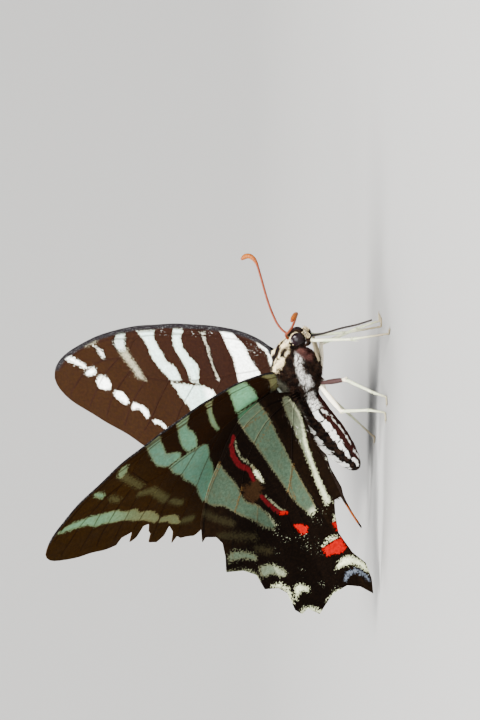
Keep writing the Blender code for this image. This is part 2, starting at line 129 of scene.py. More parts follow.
def share_along(points: Array, start: Array, end: Array) -> Array:
    """How far along a stretch each point lies, 0 at its start and 1 at its end."""
    way = end - start
    return (points - start) @ way / max(way @ way, 1e-12)


def nearest(points: Array, line: Sequence[Point]) -> tuple[Array, Array]:
    """Find the closest place on a polyline for each point.

    Args:
        points: an array of plane points.
        line: the polyline.

    Returns:
        Distances, and the closest places with any further numbers of the line there.
    """
    best = np.full(len(points), 1e9)
    place = np.zeros((len(points), len(line[0])))
    for a, b in zip(line, line[1:]):
        a, b = np.array(a), np.array(b)
        t = np.clip(share_along(points, a[:2], b[:2]), 0.0, 1.0)
        foot = a + t[:, None] * (b - a)
        distance = np.hypot(*(points - foot[:, :2]).T)
        closer = distance < best
        best[closer] = distance[closer]
        place[closer] = foot[closer]
    return best, place


def contains(points: Array, outline: Sequence[Point]) -> Array:
    """Tell whether each point lies in a closed outline.

    Args:
        points: an array of plane points.
        outline: the outline's corners in order.

    Returns:
        True for each point inside.
    """
    hit = np.zeros(len(points), dtype=bool)
    x, y = points[:, 0], points[:, 1]
    for a, b in zip(outline, list(outline[1:]) + [outline[0]]):
        if a[1] == b[1]:
            continue
        crosses = (a[1] > y) != (b[1] > y)
        hit ^= crosses & (x < (b[0] - a[0]) * (y - a[1]) / (b[1] - a[1]) + a[0])
    return hit


@dataclass(frozen=True)
class Patch:
    """A marking with a closed outline."""

    outline: Line

    def depth(self, points: Array) -> Array:
        """How far inside the marking each point lies; negative outside."""
        distance, _ = nearest(points, self.outline + self.outline[:1])
        return np.where(contains(points, self.outline), distance, -distance)


@dataclass(frozen=True)
class Stroke:
    """A marking along a line of (x, y, width)."""

    line: Line

    def depth(self, points: Array) -> Array:
        """How far inside the marking each point lies; negative outside."""
        distance, place = nearest(points, self.line)
        return 0.5 * place[:, 2] - distance


Mark = Union[Patch, Stroke]


def band(first: Line, second: Line) -> Patch:
    """The area between two soft edges that run the same way."""
    return Patch(smooth(first, 3) + smooth(list(reversed(second)), 3))


def blob(*points: Point) -> Patch:
    """A rounded marking through a ring of points."""
    ring = list(points)
    return Patch(smooth(ring[-1:] + ring + ring[:2], 3)[3:-4])


def deepest(marks: Iterable[Mark], points: Array) -> Array:
    """Find the greatest depth in any of the marks.

    Args:
        marks: the markings.
        points: an array of plane points.

    Returns:
        Depths, held between -3 and 3.
    """
    out = np.full(len(points), -3.0)
    for mark in marks:
        out = np.maximum(out, mark.depth(points))
    return np.clip(out, -3.0, 3.0)


def wrap_grid(bm: BMesh, rows: int, sides: int, place: Callable[[int, float], Point]) -> None:
    """Roll a grid into a closed tube.

    Args:
        bm: the mesh that takes it.
        rows: sections along the tube.
        sides: facets round it.
        place: gives the point for a section and an angle.
    """
    made = bmesh.ops.create_grid(bm, x_segments=rows - 1, y_segments=sides, size=0.5)["verts"]
    for vert in made:
        row = round((vert.co.x + 0.5) * (rows - 1))
        turn = round((vert.co.y + 0.5) * sides) % sides
        vert.co = place(row, 2 * pi * turn / sides)
    bmesh.ops.remove_doubles(bm, verts=made, dist=1e-5)


def add_tube(bm: BMesh, path: Sequence[Point], radii: Sequence[float], sides: int) -> None:
    """Add a round tube along a path, with each end closed by a point.

    Args:
        bm: the mesh that takes it.
        path: its middle line.
        radii: a radius for each point.
        sides: facets round it.
    """
    points = np.array([path[0], *path, path[-1]], dtype=float)
    points[0] = points[1] - 1e-3 * (points[2] - points[1])
    points[-1] = points[-2] + 1e-3 * (points[-2] - points[-3])
    widths = [0.0, *radii, 0.0]
    if points.shape[1] == 2:
        points = np.c_[points, np.zeros(len(points))]
    along = np.gradient(points, axis=0)
    along /= np.linalg.norm(along, axis=1)[:, None]
    seed = np.array((0.0, 0.0, 1.0)) if abs(along[0][2]) < 0.9 else np.array((0.0, 1.0, 0.0))
    frames = []
    for direction in along:
        seed = seed - direction * (seed @ direction)
        seed = seed / np.linalg.norm(seed)
        frames.append((np.cross(direction, seed), seed))

    def place(row: int, angle: float) -> Point:
        """A point of one section."""
        side, up = frames[row]
        return tuple(points[row] + widths[row] * (cos(angle) * side + sin(angle) * up))

    wrap_grid(bm, len(points), sides, place)


def add_ball(bm: BMesh, centre: Point, size: Point, segments: int = 24, rings: int = 16) -> None:
    """Add a round body.

    Args:
        bm: the mesh that takes it.
        centre: its middle.
        size: its three half axes.
        segments: facets round it.
        rings: facets from pole to pole.
    """
    made = bmesh.ops.create_uvsphere(bm, u_segments=segments, v_segments=rings, radius=1.0)
    scale = Matrix.Diagonal([*size, 1.0])
    bmesh.ops.transform(bm, matrix=Matrix.Translation(centre) @ scale, verts=made["verts"])


def add_loft(bm: BMesh, stations: Sequence[Point], sides: int, steps: int,
             inset: float = 0.0, waist: Optional[Callable[[float], float]] = None,
             frame_matrix: Matrix = Matrix()) -> None:
    """Loft upright ovals and close both ends.

    Args:
        bm: the mesh that takes them.
        stations: ovals as (forward, centre height, half width, half height).
        sides: facets round it.
        steps: sections for each stretch between two ovals.
        inset: how far the surface is drawn in.
        waist: a factor on the section for each forward place.
        frame_matrix: the frame of the ovals.
    """
    sections = []
    for x, z, wide, high in smooth(stations, steps):
        pinch = waist(x) if waist else 1.0
        sections.append((x, z, max(wide - inset, 0.05) * pinch, max(high - inset, 0.05) * pinch))
    sections = [(*sections[0][:2], 0.0, 0.0), *sections, (*sections[-1][:2], 0.0, 0.0)]

    def place(row: int, angle: float) -> Point:
        """A point of one section."""
        x, z, wide, high = sections[row]
        return tuple(frame_matrix @ Vector((x, wide * cos(angle), z + high * sin(angle))))

    wrap_grid(bm, len(sections), sides, place)


def to_world(points: Array, matrix: Matrix) -> Array:
    """Move points by a matrix in millimetres and return metres."""
    m = np.array(matrix)
    return (points @ m[:3, :3].T + m[:3, 3]) * MM


def to_local(points: Array, matrix: Matrix) -> Array:
    """Undo a matrix in millimetres."""
    m = np.array(matrix.inverted())
    return points @ m[:3, :3].T + m[:3, 3]


def travel(path: Array) -> Array:
    """The length of a path up to each of its points."""
    return np.r_[0.0, np.cumsum(np.linalg.norm(np.diff(path, axis=0), axis=1))]


def read_points(mesh: Mesh) -> Array:
    """Read a mesh.

    Args:
        mesh: any mesh.

    Returns:
        All its vertex coordinates, a row each.
    """
    out = np.empty(len(mesh.vertices) * 3)
    mesh.vertices.foreach_get("co", out)
    return out.reshape(-1, 3)


def write_points(mesh: Mesh, points: Array) -> None:
    """Put all vertex coordinates of a mesh."""
    mesh.vertices.foreach_set("co", np.ascontiguousarray(points, dtype=float).ravel())
    mesh.update()


def write_values(mesh: Mesh, values: dict[str, Array]) -> None:
    """Store one number a vertex under each name.

    Args:
        mesh: the mesh that takes them.
        values: an array for each name.
    """
    for name, numbers in values.items():
        layer = mesh.attributes.new(name, "FLOAT", "POINT")
        layer.data.foreach_set("value", np.ascontiguousarray(numbers, dtype=np.float32))


def write_uv(mesh: Mesh, name: str, per_vertex: Array) -> None:
    """Give a mesh a UV map.

    Args:
        mesh: the mesh that takes it.
        name: the map's name.
        per_vertex: a pair for each vertex.
    """
    layer = mesh.uv_layers.new(name=name)
    corner = np.empty(len(mesh.loops), dtype=np.int32)
    mesh.loops.foreach_get("vertex_index", corner)
    layer.data.foreach_set("uv", np.ascontiguousarray(per_vertex[corner], dtype=np.float32).ravel())


def link(name: str, data: bpy.types.ID) -> Object:
    """Put a new object in the scene.

    Args:
        name: its name.
        data: its mesh, camera or light.

    Returns:
        The object.
    """
    made = bpy.data.objects.new(name, data)
    bpy.context.scene.collection.objects.link(made)
    return made


def publish(mesh: Mesh, materials: Sequence[Material], slot: str,
            stands_for: Sequence[str] = ()) -> Object:
    """Put a finished mesh in the scene as a piece of the model.

    Args:
        mesh: the piece's mesh, in metres, which gives its name too.
        materials: its materials in slot order.
        slot: the material slot, not used.
        stands_for: the solids that it replaces.

    Returns:
        The new object.
    """
    for material in materials:
        mesh.materials.append(material)
    piece = link(mesh.name, mesh)
    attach(piece, "root")
    if stands_for:
        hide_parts(*stands_for)
    LOG.info("%s: %d faces", piece.name, len(mesh.polygons))
    return piece


def raw_mesh(name: str, bm: BMesh) -> Mesh:
    """Turn a bmesh into a mesh of the same size.

    Args:
        name: the mesh's name.
        bm: the shape, which is freed.

    Returns:
        The mesh, with its faces outward.
    """
    bmesh.ops.recalc_face_normals(bm, faces=bm.faces)
    mesh = bpy.data.meshes.new(name)
    bm.to_mesh(mesh)
    bm.free()
    return mesh


def finish_mesh(name: str, bm: BMesh, matrix: Matrix, smooth_angle: float = 60.0) -> Mesh:
    """Turn a closed bmesh into a smooth mesh in metres.

    Args:
        name: the mesh's name.
        bm: the shape in millimetres, which is freed.
        matrix: the frame of the shape.
        smooth_angle: edges sharper than this stay sharp, in degrees.

    Returns:
        The mesh.
    """
    mesh = raw_mesh(name, bm)
    write_points(mesh, to_world(read_points(mesh), matrix))
    mesh.shade_smooth()
    if smooth_angle < 180.0:
        mesh.set_sharp_from_angle(angle=radians(smooth_angle))
    return mesh


Socket = Union[bpy.types.NodeSocket, float, tuple]


class Graph:
    """Short calls that lay nodes in a tree."""

    def __init__(self, tree: NodeTree) -> None:
        """Work on a tree."""
        self.tree = tree
        self.count = 0

    def add(self, kind: str, settings: Optional[dict] = None, inputs: Optional[dict] = None) -> Node:
        """Add a node.

        Args:
            kind: the node's type name, without its first part.
            settings: properties to set.
            inputs: sockets or plain values by input name or number.

        Returns:
            The node.
        """
        node = self.tree.nodes.new("ShaderNode" + kind)
        node.location = (180.0 * (self.count % 12), -240.0 * (self.count // 12))
        self.count += 1
        for key, value in (settings or {}).items():
            setattr(node, key, value)
        for key, value in (inputs or {}).items():
            if isinstance(value, bpy.types.NodeSocket):
                self.tree.links.new(value, node.inputs[key])
            else:
                node.inputs[key].default_value = value
        return node

    def math(self, operation: str, a: Socket, b: Socket = 0.0, clamp: bool = False) -> Socket:
        """One step of arithmetic."""
        settings = {"operation": operation, "use_clamp": clamp}
        return self.add("Math", settings, {0: a, 1: b}).outputs[0]

    def times(self, a: Socket, b: Socket) -> Socket:
        """A product."""
        return self.math("MULTIPLY", a, b)

    def step(self, value: Socket, low: float, high: float, out_low: float = 0.0,
             out_high: float = 1.0) -> Socket:
        """A soft step between two values."""
        return self.add("MapRange", {"interpolation_type": "SMOOTHSTEP"},
                        {0: value, 1: low, 2: high, 3: out_low, 4: out_high}).outputs[0]

    def mix(self, factor: Socket, a: Socket, b: Socket, blend: str = "MIX") -> Socket:
        """Mix two colours."""
        a, b = [(*c, 1.0) if isinstance(c, tuple) and len(c) == 3 else c for c in (a, b)]
        return self.add("Mix", {"data_type": "RGBA", "blend_type": blend},
                        {0: factor, 6: a, 7: b}).outputs[2]

    def value(self, name: str) -> Socket:
        """Read a number stored on the mesh."""
        return self.add("Attribute", {"attribute_name": name}).outputs["Fac"]

    def noise(self, vector: Socket, scale: float, detail: float = 3.0, rough: float = 0.55) -> Socket:
        """Soft noise between 0 and 1."""
        return self.add("TexNoise", None, {"Vector": vector, "Scale": scale, "Detail": detail,
                                           "Roughness": rough}).outputs[0]

    def stretch(self, vector: Socket, scale: Point) -> Socket:
        """Scale a vector along its axes."""
        return self.add("Mapping", None, {"Vector": vector, "Scale": scale}).outputs[0]

    def group(self, tree: NodeTree, inputs: dict) -> Node:
        """Add a node group."""
        return self.add("Group", {"node_tree": tree}, inputs)

    def object_place(self) -> Socket:
        """The place on the object, in millimetres."""
        return self.stretch(self.add("TexCoord").outputs["Object"], (1 / MM, 1 / MM, 1 / MM))

    def shaded(self, colour: Socket, shade: Socket) -> Socket:
        """A colour times a number."""
        grey = self.add("CombineColor", None, {0: shade, 1: shade, 2: shade}).outputs[0]
        return self.mix(1.0, colour, grey, "MULTIPLY")

    def mask(self, ragged: NodeTree, name: str, place: Socket, wobble: Socket,
             pepper: Socket, soft: float) -> Socket:
        """The ragged mask of a marking whose depth is stored on the mesh."""
        return self.group(ragged, {"Depth": self.value(name), "Vector": place, "Wobble": wobble,
                                   "Pepper": pepper, "Soft": soft}).outputs[0]


def new_group(name: str, inputs: Sequence[tuple[str, str]],
              outputs: Sequence[tuple[str, str]]) -> tuple[Graph, Node, Node]:
    """Start a node group.

    Args:
        name: its name.
        inputs: names and kinds of its inputs.
        outputs: names and kinds of its outputs.

    Returns:
        Its graph, its input node and its output node.
    """
    tree = bpy.data.node_groups.new(name, "ShaderNodeTree")
    for way, sockets in (("INPUT", inputs), ("OUTPUT", outputs)):
        for label, kind in sockets:
            tree.interface.new_socket(name=label, in_out=way, socket_type="NodeSocket" + kind)
    return Graph(tree), tree.nodes.new("NodeGroupInput"), tree.nodes.new("NodeGroupOutput")


def ragged_group() -> NodeTree:
    """Make the group that gives a marking's mask from its depth, with an uneven edge.

    Returns:
        The group.
    """
    graph, source, sink = new_group(
        "ragged_mask", [("Depth", "Float"), ("Vector", "Vector"), ("Wobble", "Float"),
                        ("Pepper", "Float"), ("Soft", "Float")], [("Mask", "Float")])
    depth = source.outputs["Depth"]
    for scale, amount in ((1.3, "Wobble"), (3.6, "Pepper")):
        noise = graph.noise(source.outputs["Vector"], scale, 3.0, 0.6)
        shift = graph.times(graph.math("SUBTRACT", noise, 0.5), source.outputs[amount])
        depth = graph.math("ADD", depth, graph.times(shift, 2.6))
    share = graph.math("DIVIDE", depth, source.outputs["Soft"])
    mask = graph.step(share, -1.0, 1.0)
    graph.tree.links.new(mask, sink.inputs[0])
    return graph.tree


def grain_group() -> NodeTree:
    """Make the group of wing scales: an uneven tint, a height and worn patches.

    Returns:
        The group.
    """
    graph, source, sink = new_group("scale_grain", [("Vector", "Vector")],
                                    [("Tint", "Float"), ("Height", "Float"), ("Wear", "Float")])
    vector = source.outputs[0]
    rows = graph.add("TexVoronoi", {"feature": "F1"},
                     {"Vector": graph.stretch(vector, (6.0, 11.0, 1.0)), "Scale": 1.0})
    patches = graph.noise(vector, 1.1, 4.0)
    fine = graph.noise(graph.stretch(vector, (3.0, 9.0, 1.0)), 1.0, 5.0, 0.7)
    spots = graph.add("SeparateColor", None, {0: rows.outputs["Color"]}).outputs[0]
    tint = graph.math("ADD", graph.times(spots, 0.35), graph.times(fine, 0.65))
    height = graph.math("ADD", graph.times(rows.outputs["Distance"], -0.7), fine)
    graph.tree.links.new(tint, sink.inputs[0])
    graph.tree.links.new(height, sink.inputs[1])
    graph.tree.links.new(patches, sink.inputs[2])
    return graph.tree


def start_material(name: str) -> tuple[Material, Graph, Node]:
    """Make a material.

    Args:
        name: its name.

    Returns:
        The material, its graph and its shader node.
    """
    material = bpy.data.materials.new(name)
    material.use_nodes = True
    return material, Graph(material.node_tree), material.node_tree.nodes["Principled BSDF"]


def set_shader(graph: Graph, shader: Node, colour: Socket, roughness: Socket,
               height: Optional[Socket] = None, bump: float = 0.02, strength: float = 0.6,
               **constants: float) -> None:
    """Join colour, roughness and bump to the shader.

    Args:
        graph: the material's graph.
        shader: its shader node.
        colour: base colour.
        roughness: roughness.
        height: height for the bump, if any.
        bump: how far the bump stands, in millimetres.
        strength: strength of the bump.
        constants: other shader inputs, with spaces as underscores.
    """
    for key, value in (("Base Color", colour), ("Roughness", roughness)):
        if isinstance(value, bpy.types.NodeSocket):
            graph.tree.links.new(value, shader.inputs[key])
        else:
            shader.inputs[key].default_value = (*value, 1.0) if key == "Base Color" else value
    if height is not None:
        node = graph.add("Bump", None, {"Strength": strength, "Distance": bump * MM,
                                        "Height": height})
        graph.tree.links.new(node.outputs[0], shader.inputs["Normal"])
    for key, value in constants.items():
        shader.inputs[key.replace("_", " ")].default_value = value


@dataclass(frozen=True)
class WingFinish:
    """The scales of one face of a wing."""

    dark: Colour
    worn: Colour
    pale: Colour
    green: Colour
    warm: Colour
    vein: Colour
    faded: Colour
    line: Colour = (0.038, 0.0019, 0.0026)
    red: Colour = (0.19, 0.0003, 0.0001)
    rust: Colour = (0.15, 0.034, 0.005)
    blue: Colour = (0.058, 0.069, 0.088)
    rub: Colour = (0.0145, 0.0068, 0.0027)
    edge: Colour = (0.0050, 0.0041, 0.0048)
    powder: Colour = (0.065, 0.065, 0.065)
    roughness: float = 0.75

    def material(self, name: str, ragged: NodeTree, grain: NodeTree) -> Material:
        """Build the material.

        Args:
            name: its name.
            ragged: the group that roughens the edges of markings.
            grain: the group of wing scales.

        Returns:
            The material.
        """
        material, graph, shader = start_material(name)
        mix, step, times, math = graph.mix, graph.step, graph.times, graph.math
        value, noise = graph.value, graph.noise
        plane = graph.add("UVMap", {"uv_map": "WingPlane"}).outputs[0]
        plane = graph.stretch(plane, (WING_PLANE, WING_PLANE, 1.0))
        tint, height, wear = graph.group(grain, {"Vector": plane}).outputs
        pepper = value("pepper")

        def mask(name: str, wobble: float = 0.16, soft: float = 0.07, more: float = 0.0) -> Socket:
            """The mask of one marking."""
            return graph.mask(ragged, name, plane, wobble, math("ADD", pepper, more), soft)

        # Dark ground, worn brown in patches but dark along the veins
        dull = times(value("worn"), step(wear, 0.30, 0.70, 0.55, 1.0))
        ground = mix(dull, self.dark, self.worn)
        ground = mix(step(tint, 0.45, 0.75, 0.0, 0.35), ground, self.worn)
        ray = times(step(value("vein"), 0.06, 0.26, 0.8, 0.0), value("worn"))
        ground = mix(ray, ground, self.dark)
        ground = mix(times(mask("faint", 0.3, 0.42, 0.2), 0.85), ground, self.faded)
        # Pale marks, greener or creamier by place and crossed by the veins
        light = mix(value("green"), self.pale, self.green)
        light = mix(value("warm"), light, self.warm)
        light = mix(step(wear, 0.45, 0.75, 0.0, 0.3), light, self.warm)
        light = mix(step(value("pale"), 0.02, 0.45, 0.5, 0.0), light, self.warm)
        light = mix(times(step(value("vein"), 0.05, 0.20, 0.75, 0.0), value("ray")), light, self.vein)
        colour = mix(mask("pale"), ground, light)
        # Coloured marks, each laid over the last
        worn_red = mix(step(tint, 0.5, 0.8, 0.0, 0.55), self.red, self.line)
        for kind, wobble, soft, more, share, paint in (
                ("rub", 0.8, 0.3, 0.2, 0.85, self.rub), ("tan", 0.1, 0.1, 0.0, 0.7, self.vein),
                ("line", 0.2, 0.12, -0.3, 1.0, self.line), ("blue", 0.3, 0.2, -0.3, 1.0, self.blue),
                ("rust", 0.2, 0.2, 0.0, 1.0, self.rust), ("red", 0.25, 0.10, -0.45, 1.0, worn_red)):
            colour = mix(times(mask(kind, wobble, soft, more), share), colour, paint)
        # Front edge
        edge = mix(step(noise(plane, 5.0, 2.0), 0.54, 0.66, 0.0, 0.7), self.edge, self.powder)
        colour = mix(value("costa"), colour, edge)
        # Loose pale scales
        dots = math("ADD", noise(plane, 4.6, 1.5), times(value("dust"), 0.22))
        dots = math("SUBTRACT", dots, step(noise(plane, 0.8, 2.0), 0.35, 0.6, 0.06, 0.0))
        powder = mix(0.6, self.pale, self.powder)
        colour = mix(step(dots, 0.78, 0.86, 0.0, 0.8), colour, powder)
        # Brightness, in patches and by place; the stored shade holds painted shade on the hind wings
        mottle = step(noise(plane, 2.4, 3.0), 0.3, 0.7, 0.82, 1.14)
        shade = times(times(step(tint, 0.2, 0.8, 0.84, 1.14), mottle), value("shade"))
        colour = graph.shaded(colour, shade)
        # Relief of scales and veins
        ribs = step(value("vein"), 0.0, 0.5, 1.0, 0.0)
        relief = math("ADD", height, times(ribs, 0.8))
        relief = math("ADD", relief, times(wear, 1.5))
        gloss = step(tint, 0.2, 0.9, self.roughness - 0.1, self.roughness + 0.1)
        set_shader(graph, shader, colour, gloss, relief, bump=0.03, strength=0.55,
                   Specular_IOR_Level=0.012)
        return material


FORE_COSTA = [(0.3, 0.7), (0.8, 2.2), (2.2, 3.2), (4.3, 4.2), (7, 5), (11, 5.5), (16, 5.7),
              (20, 5.5), (24, 5.2), (28, 4.5), (32, 3.4), (36, 1.8), (39, 0.2),
              (41, -1.6), (41.9, -3.4), (41.4, -5.2), (39.8, -6.9), (37.4, -8.5), (34, -10.4)]
FORE_MARGIN = [(30.4, -12.3), (27, -14.5), (24, -17), (21.6, -19.4), (19, -21.7)]
FORE_TATTER = [(31.8, -11.6), (30.2, -12.6), (29.3, -11.5), (27.4, -11.7), (28, -13.8),
               (26.8, -13.6), (25.4, -12.2), (24.4, -12.6), (24.5, -14.6), (24.2, -15.6),
               (24.7, -17.2), (23.4, -18.4), (22, -17.9), (20.9, -16.6), (20.4, -18.6),
               (20.8, -21), (19.8, -20.2), (19.2, -21.4), (17.8, -22.4)]
FORE_INNER = [(16.8, -23.2), (15.6, -23), (14.2, -21.4), (10.4, -16.2), (6.6, -11.2),
              (3.2, -6.6), (0.6, -2.6)]
HIND_COSTA = [(0.2, 1.2), (2.9, 2.9), (5, 3), (9.3, 2.6), (11.9, 1.4), (14.4, -0.3),
              (17.3, -2.3), (20, -4.7), (21.6, -6.6)]
HIND_APEX = [(23, -9.4), (22.9, -12.4)]
HIND_APEX_TORN = [(22.8, -8.9), (22, -8.6), (20.6, -9.6), (20.2, -11), (20.8, -12.8)]
HIND_MARGIN = [(21.9, -14.8), (19.6, -16.2), (18.2, -18), (18.2, -20.5), (16.3, -21.7),
               (15.5, -23.2), (15.8, -26), (15.2, -27.1), (14, -27), (12.8, -28.9),
               (11.4, -28.3), (9.5, -27.6)]
HIND_TAIL = [(7, -28), (5.3, -29.5), (4.1, -31.6), (3.2, -29.6), (2.8, -27), (3.8, -24.4)]
HIND_STRIP = [(8.2, -25.6), (6.7, -25.8), (6.1, -26.8), (5.9, -28.6), (5.6, -29.9), (5.4, -31.3),
              (5.05, -32.5), (4.55, -33.7), (4.25, -33.3), (4.5, -32.1), (4.8, -31),
              (4.95, -29.7), (5.05, -28.4), (4.8, -26.7), (3.9, -24.6)]
HIND_INNER = [(4.2, -20.6), (3.3, -18.2), (2.3, -16.2), (1.2, -16.2), (0.9, -11), (0.7, -6),
              (0.2, -2)]
FORE_VEINS = {
    "radius": [(-0.6, 0.6), (0.8, 1.2), (5, 3.2), (12, 4), (20, 4), (24.2, 3.4), (26.2, 1.4)],
    "cubitus": [(-0.6, -0.2), (0.8, -0.4), (4, -1.4), (8, -2), (12, -2.8), (15, -3.1),
                (20.2, -3.3), (24, -3)],
    "cell_end": [(26.2, 1.4), (25.3, -0.6), (24, -3)],
    "radial_1": [(9, 4), (14, 4.9), (20, 4.9), (26, 4.7)],
    "radial_2": [(14, 4), (20, 4.5), (26, 4.2), (31, 3.4)],
    "radial_3": [(24.2, 3.4), (30, 3), (35.5, 1.3), (40.2, -1.8)],
    "radial_4": [(28.4, 0.2), (32, -0.4), (36, -2.6), (39.4, -5.8)],
    "radial_5": [(26.2, 1.4), (29.5, -0.6), (33, -3.6), (36.4, -7.8)],
    "medial_1": [(25.3, -0.6), (28.5, -3.2), (31.5, -6.2), (33.6, -9.4)],
    "medial_2": [(24, -3), (27, -5.8), (29.2, -8.6), (30.6, -10.8)],
    "medial_3": [(20.2, -3.3), (22.7, -6.2), (25.3, -9.6), (27, -11.4)],
    "cubital_1": [(15, -3.1), (18.3, -6.6), (20.5, -9.5), (22.4, -12.8), (23.9, -16.4)],
    "cubital_2": [(10, -2.4), (12.6, -5.5), (14.5, -9), (16, -11.8), (18, -15.3),
                  (19.6, -19.6)],
    "anal": [(-0.3, -0.8), (0.9, -2), (5, -7.6), (10, -14.4), (15, -21.6)],
}
HIND_VEINS = {
    "subcosta": [(-0.6, 0.6), (0.9, 0.9), (5, 1.9), (10, 1.2), (14.6, -0.9), (19.3, -4.4),
                 (22, -7.9)],
    "radius": [(-0.6, 0.2), (0.9, 0.4), (6, -0.1), (11, -3), (14, -6.3), (16.6, -8.6),
               (19, -12), (20.8, -14.9)],
    "medial_1": [(12.8, -9.6), (15, -12.8), (17, -16.6), (17.8, -20)],
    "medial_2": [(11.2, -11.8), (12.6, -16.8), (14, -20.5), (15.2, -25.6)],
    "medial_3": [(9.8, -12.4), (10.4, -19), (11.5, -27.6)],
    "cubitus": [(-0.6, -0.2), (0.9, -0.6), (3, -4), (5.2, -7.6), (7.7, -10.7), (9.8, -12.4),
                (11.2, -11.8), (12.8, -9.6), (14, -6.3)],
    "cubital_1": [(7.7, -10.7), (8.2, -18), (8.6, -27)],
    "cubital_2": [(5.2, -7.6), (5.3, -15), (5, -22), (4.3, -29)],
}


@dataclass(frozen=True)
class Pattern:
    """The markings of one face of a wing."""

    pale: list[Mark]
    line: Sequence[Mark] = ()
    red: Sequence[Mark] = ()
    rust: Sequence[Mark] = ()
    blue: Sequence[Mark] = ()
    tan: Sequence[Mark] = ()
    faint: Sequence[Mark] = ()
    rub: Sequence[Mark] = ()
    dust: Sequence[Point] = ()

    def values(self, points: Array) -> dict[str, Array]:
        """Measure every kind of marking.

        Args:
            points: wing coordinates.

        Returns:
            Depths by kind, and how thick the loose pale scales lie as dust.
        """
        kinds = ("pale", "line", "red", "rust", "blue", "tan", "faint", "rub")
        out = {kind: deepest(getattr(self, kind), points) for kind in kinds}
        out["dust"] = np.zeros(len(points))
        for x, y, reach in self.dust:
            near = np.hypot(points[:, 0] - x, points[:, 1] - y)
            out["dust"] = np.maximum(out["dust"], 1.0 - near / reach)
        return out


FORE_UNDER = Pattern(
    pale=[
        band([(0.1, -1.6), (0.1, 0), (0.2, 1.2), (0.8, 2.2), (2.4, 3.5)],
             [(1.3, -1.8), (1.6, -0.6), (1.7, 0.6), (2, 1.8), (3.2, 3.5)]),
        band([(6.1, 4.8), (5.2, 3), (4.8, 2), (4.3, 0.6), (4, -0.4), (3.8, -1.2)],
             [(9.1, 5.3), (8.7, 4), (8.4, 2.6), (8.2, 1.2), (8, 0), (7.8, -1.2)]),
        band([(4.2, -1.5), (3.7, -2.6), (3, -4), (2.4, -5)],
             [(7.6, -1.5), (7.4, -3), (7, -4.6), (6.4, -6.4)]),
        band([(11.5, 5.2), (11.9, 3.8), (11.9, 2.6), (11.7, 1.4), (11.5, 0.4), (11.2, -0.8), (10.8, -2.2)],
             [(12.9, 5.2), (12.7, 3.6), (12.6, 2.4), (12.5, 1.4), (12.3, 0.4), (12, -0.6), (11.4, -2.2)]),
        band([(15.7, 5.5), (16.1, 4.4), (16.3, 3.6), (16.1, 2.6), (15.7, 1.6), (15.2, 0.8), (14.9, -0.6),
              (15, -2.6)],
             [(18.1, 5.5), (18, 3.8), (17.9, 2.6), (17.8, 1.6), (17.7, 0.6), (17.5, -0.6), (17, -1.8),
              (16.6, -2.6)]),
        band([(20.9, 5.3), (20.8, 3.6), (20.6, 2.6), (20.4, 1.6), (20.2, 0.4), (19.2, -0.2), (18.4, -0.8),
              (17.8, -1.8), (18, -2.6)],
             [(23.7, 5.2), (23.2, 3.4), (23, 2.4), (22.8, 1.4), (22.5, 0.4), (22.1, -0.8), (21.4, -1.6),
              (20.4, -2.6)]),
        blob((26.8, 3.4), (27.2, 3.8), (28.3, 3.6), (28.6, 2.8), (28.4, 1.8), (27.8, 1.6), (27.2, 2.2)),
        blob((32.6, 2.4), (32, 2), (31.2, 1), (31.1, 0.2), (31.7, 0.2), (32.3, 1), (32.9, 2)),
        blob((13.1, -4.4), (13.4, -3.4), (14.2, -2.9), (16.4, -2.8), (19.8, -2.8), (19.9, -3.6),
             (19.6, -4.6), (19, -5.6), (18.1, -6.6), (17.8, -8), (17, -9.2), (16.2, -10.8),
             (15.7, -12), (15.4, -13.8), (14.7, -16.4), (13.6, -15), (12.6, -12), (12.4, -9.4),
             (13, -7.2), (13, -5.8)),
        Stroke([(39.2, -0.8, 0.6), (37.5, -1.2, 1.2), (35.8, -1.9, 1.4), (34.2, -2.5, 1.7),
                (32.8, -3.8, 2.2), (31.6, -4.4, 2), (30.2, -5.3, 2.3), (28.6, -6.6, 1.7),
                (27.2, -7.6, 2.1), (26.3, -9.1, 1.6), (25, -10, 1.9), (24, -11.1, 1.7),
                (23.2, -12.6, 1.3)]),
        Stroke([(22.2, -13.7, 1.1), (20.6, -14.9, 1.4), (20, -16, 1.5), (19.4, -17.2, 0.7)]),
    ],
    faint=[band([(27.2, 1.8), (26.3, 0.2), (25.6, -1), (24.5, -3)],
                [(28.3, 1.7), (27.3, 0), (26.6, -1.2), (25.4, -3.2)]),
           Stroke([(25.5, -4.2, 1), (23.2, -5.6, 1.3)]), Stroke([(22.8, -6.4, 1.2), (21.3, -9.4, 1.3)]),
           Stroke([(20.2, -11, 0.9), (18.6, -13, 0.9)]), Stroke([(30.2, -1, 0.8), (29.1, -2.4, 0.8)]),
           Stroke([(18.6, -17.5, 1), (17, -18.6, 1.2)])])
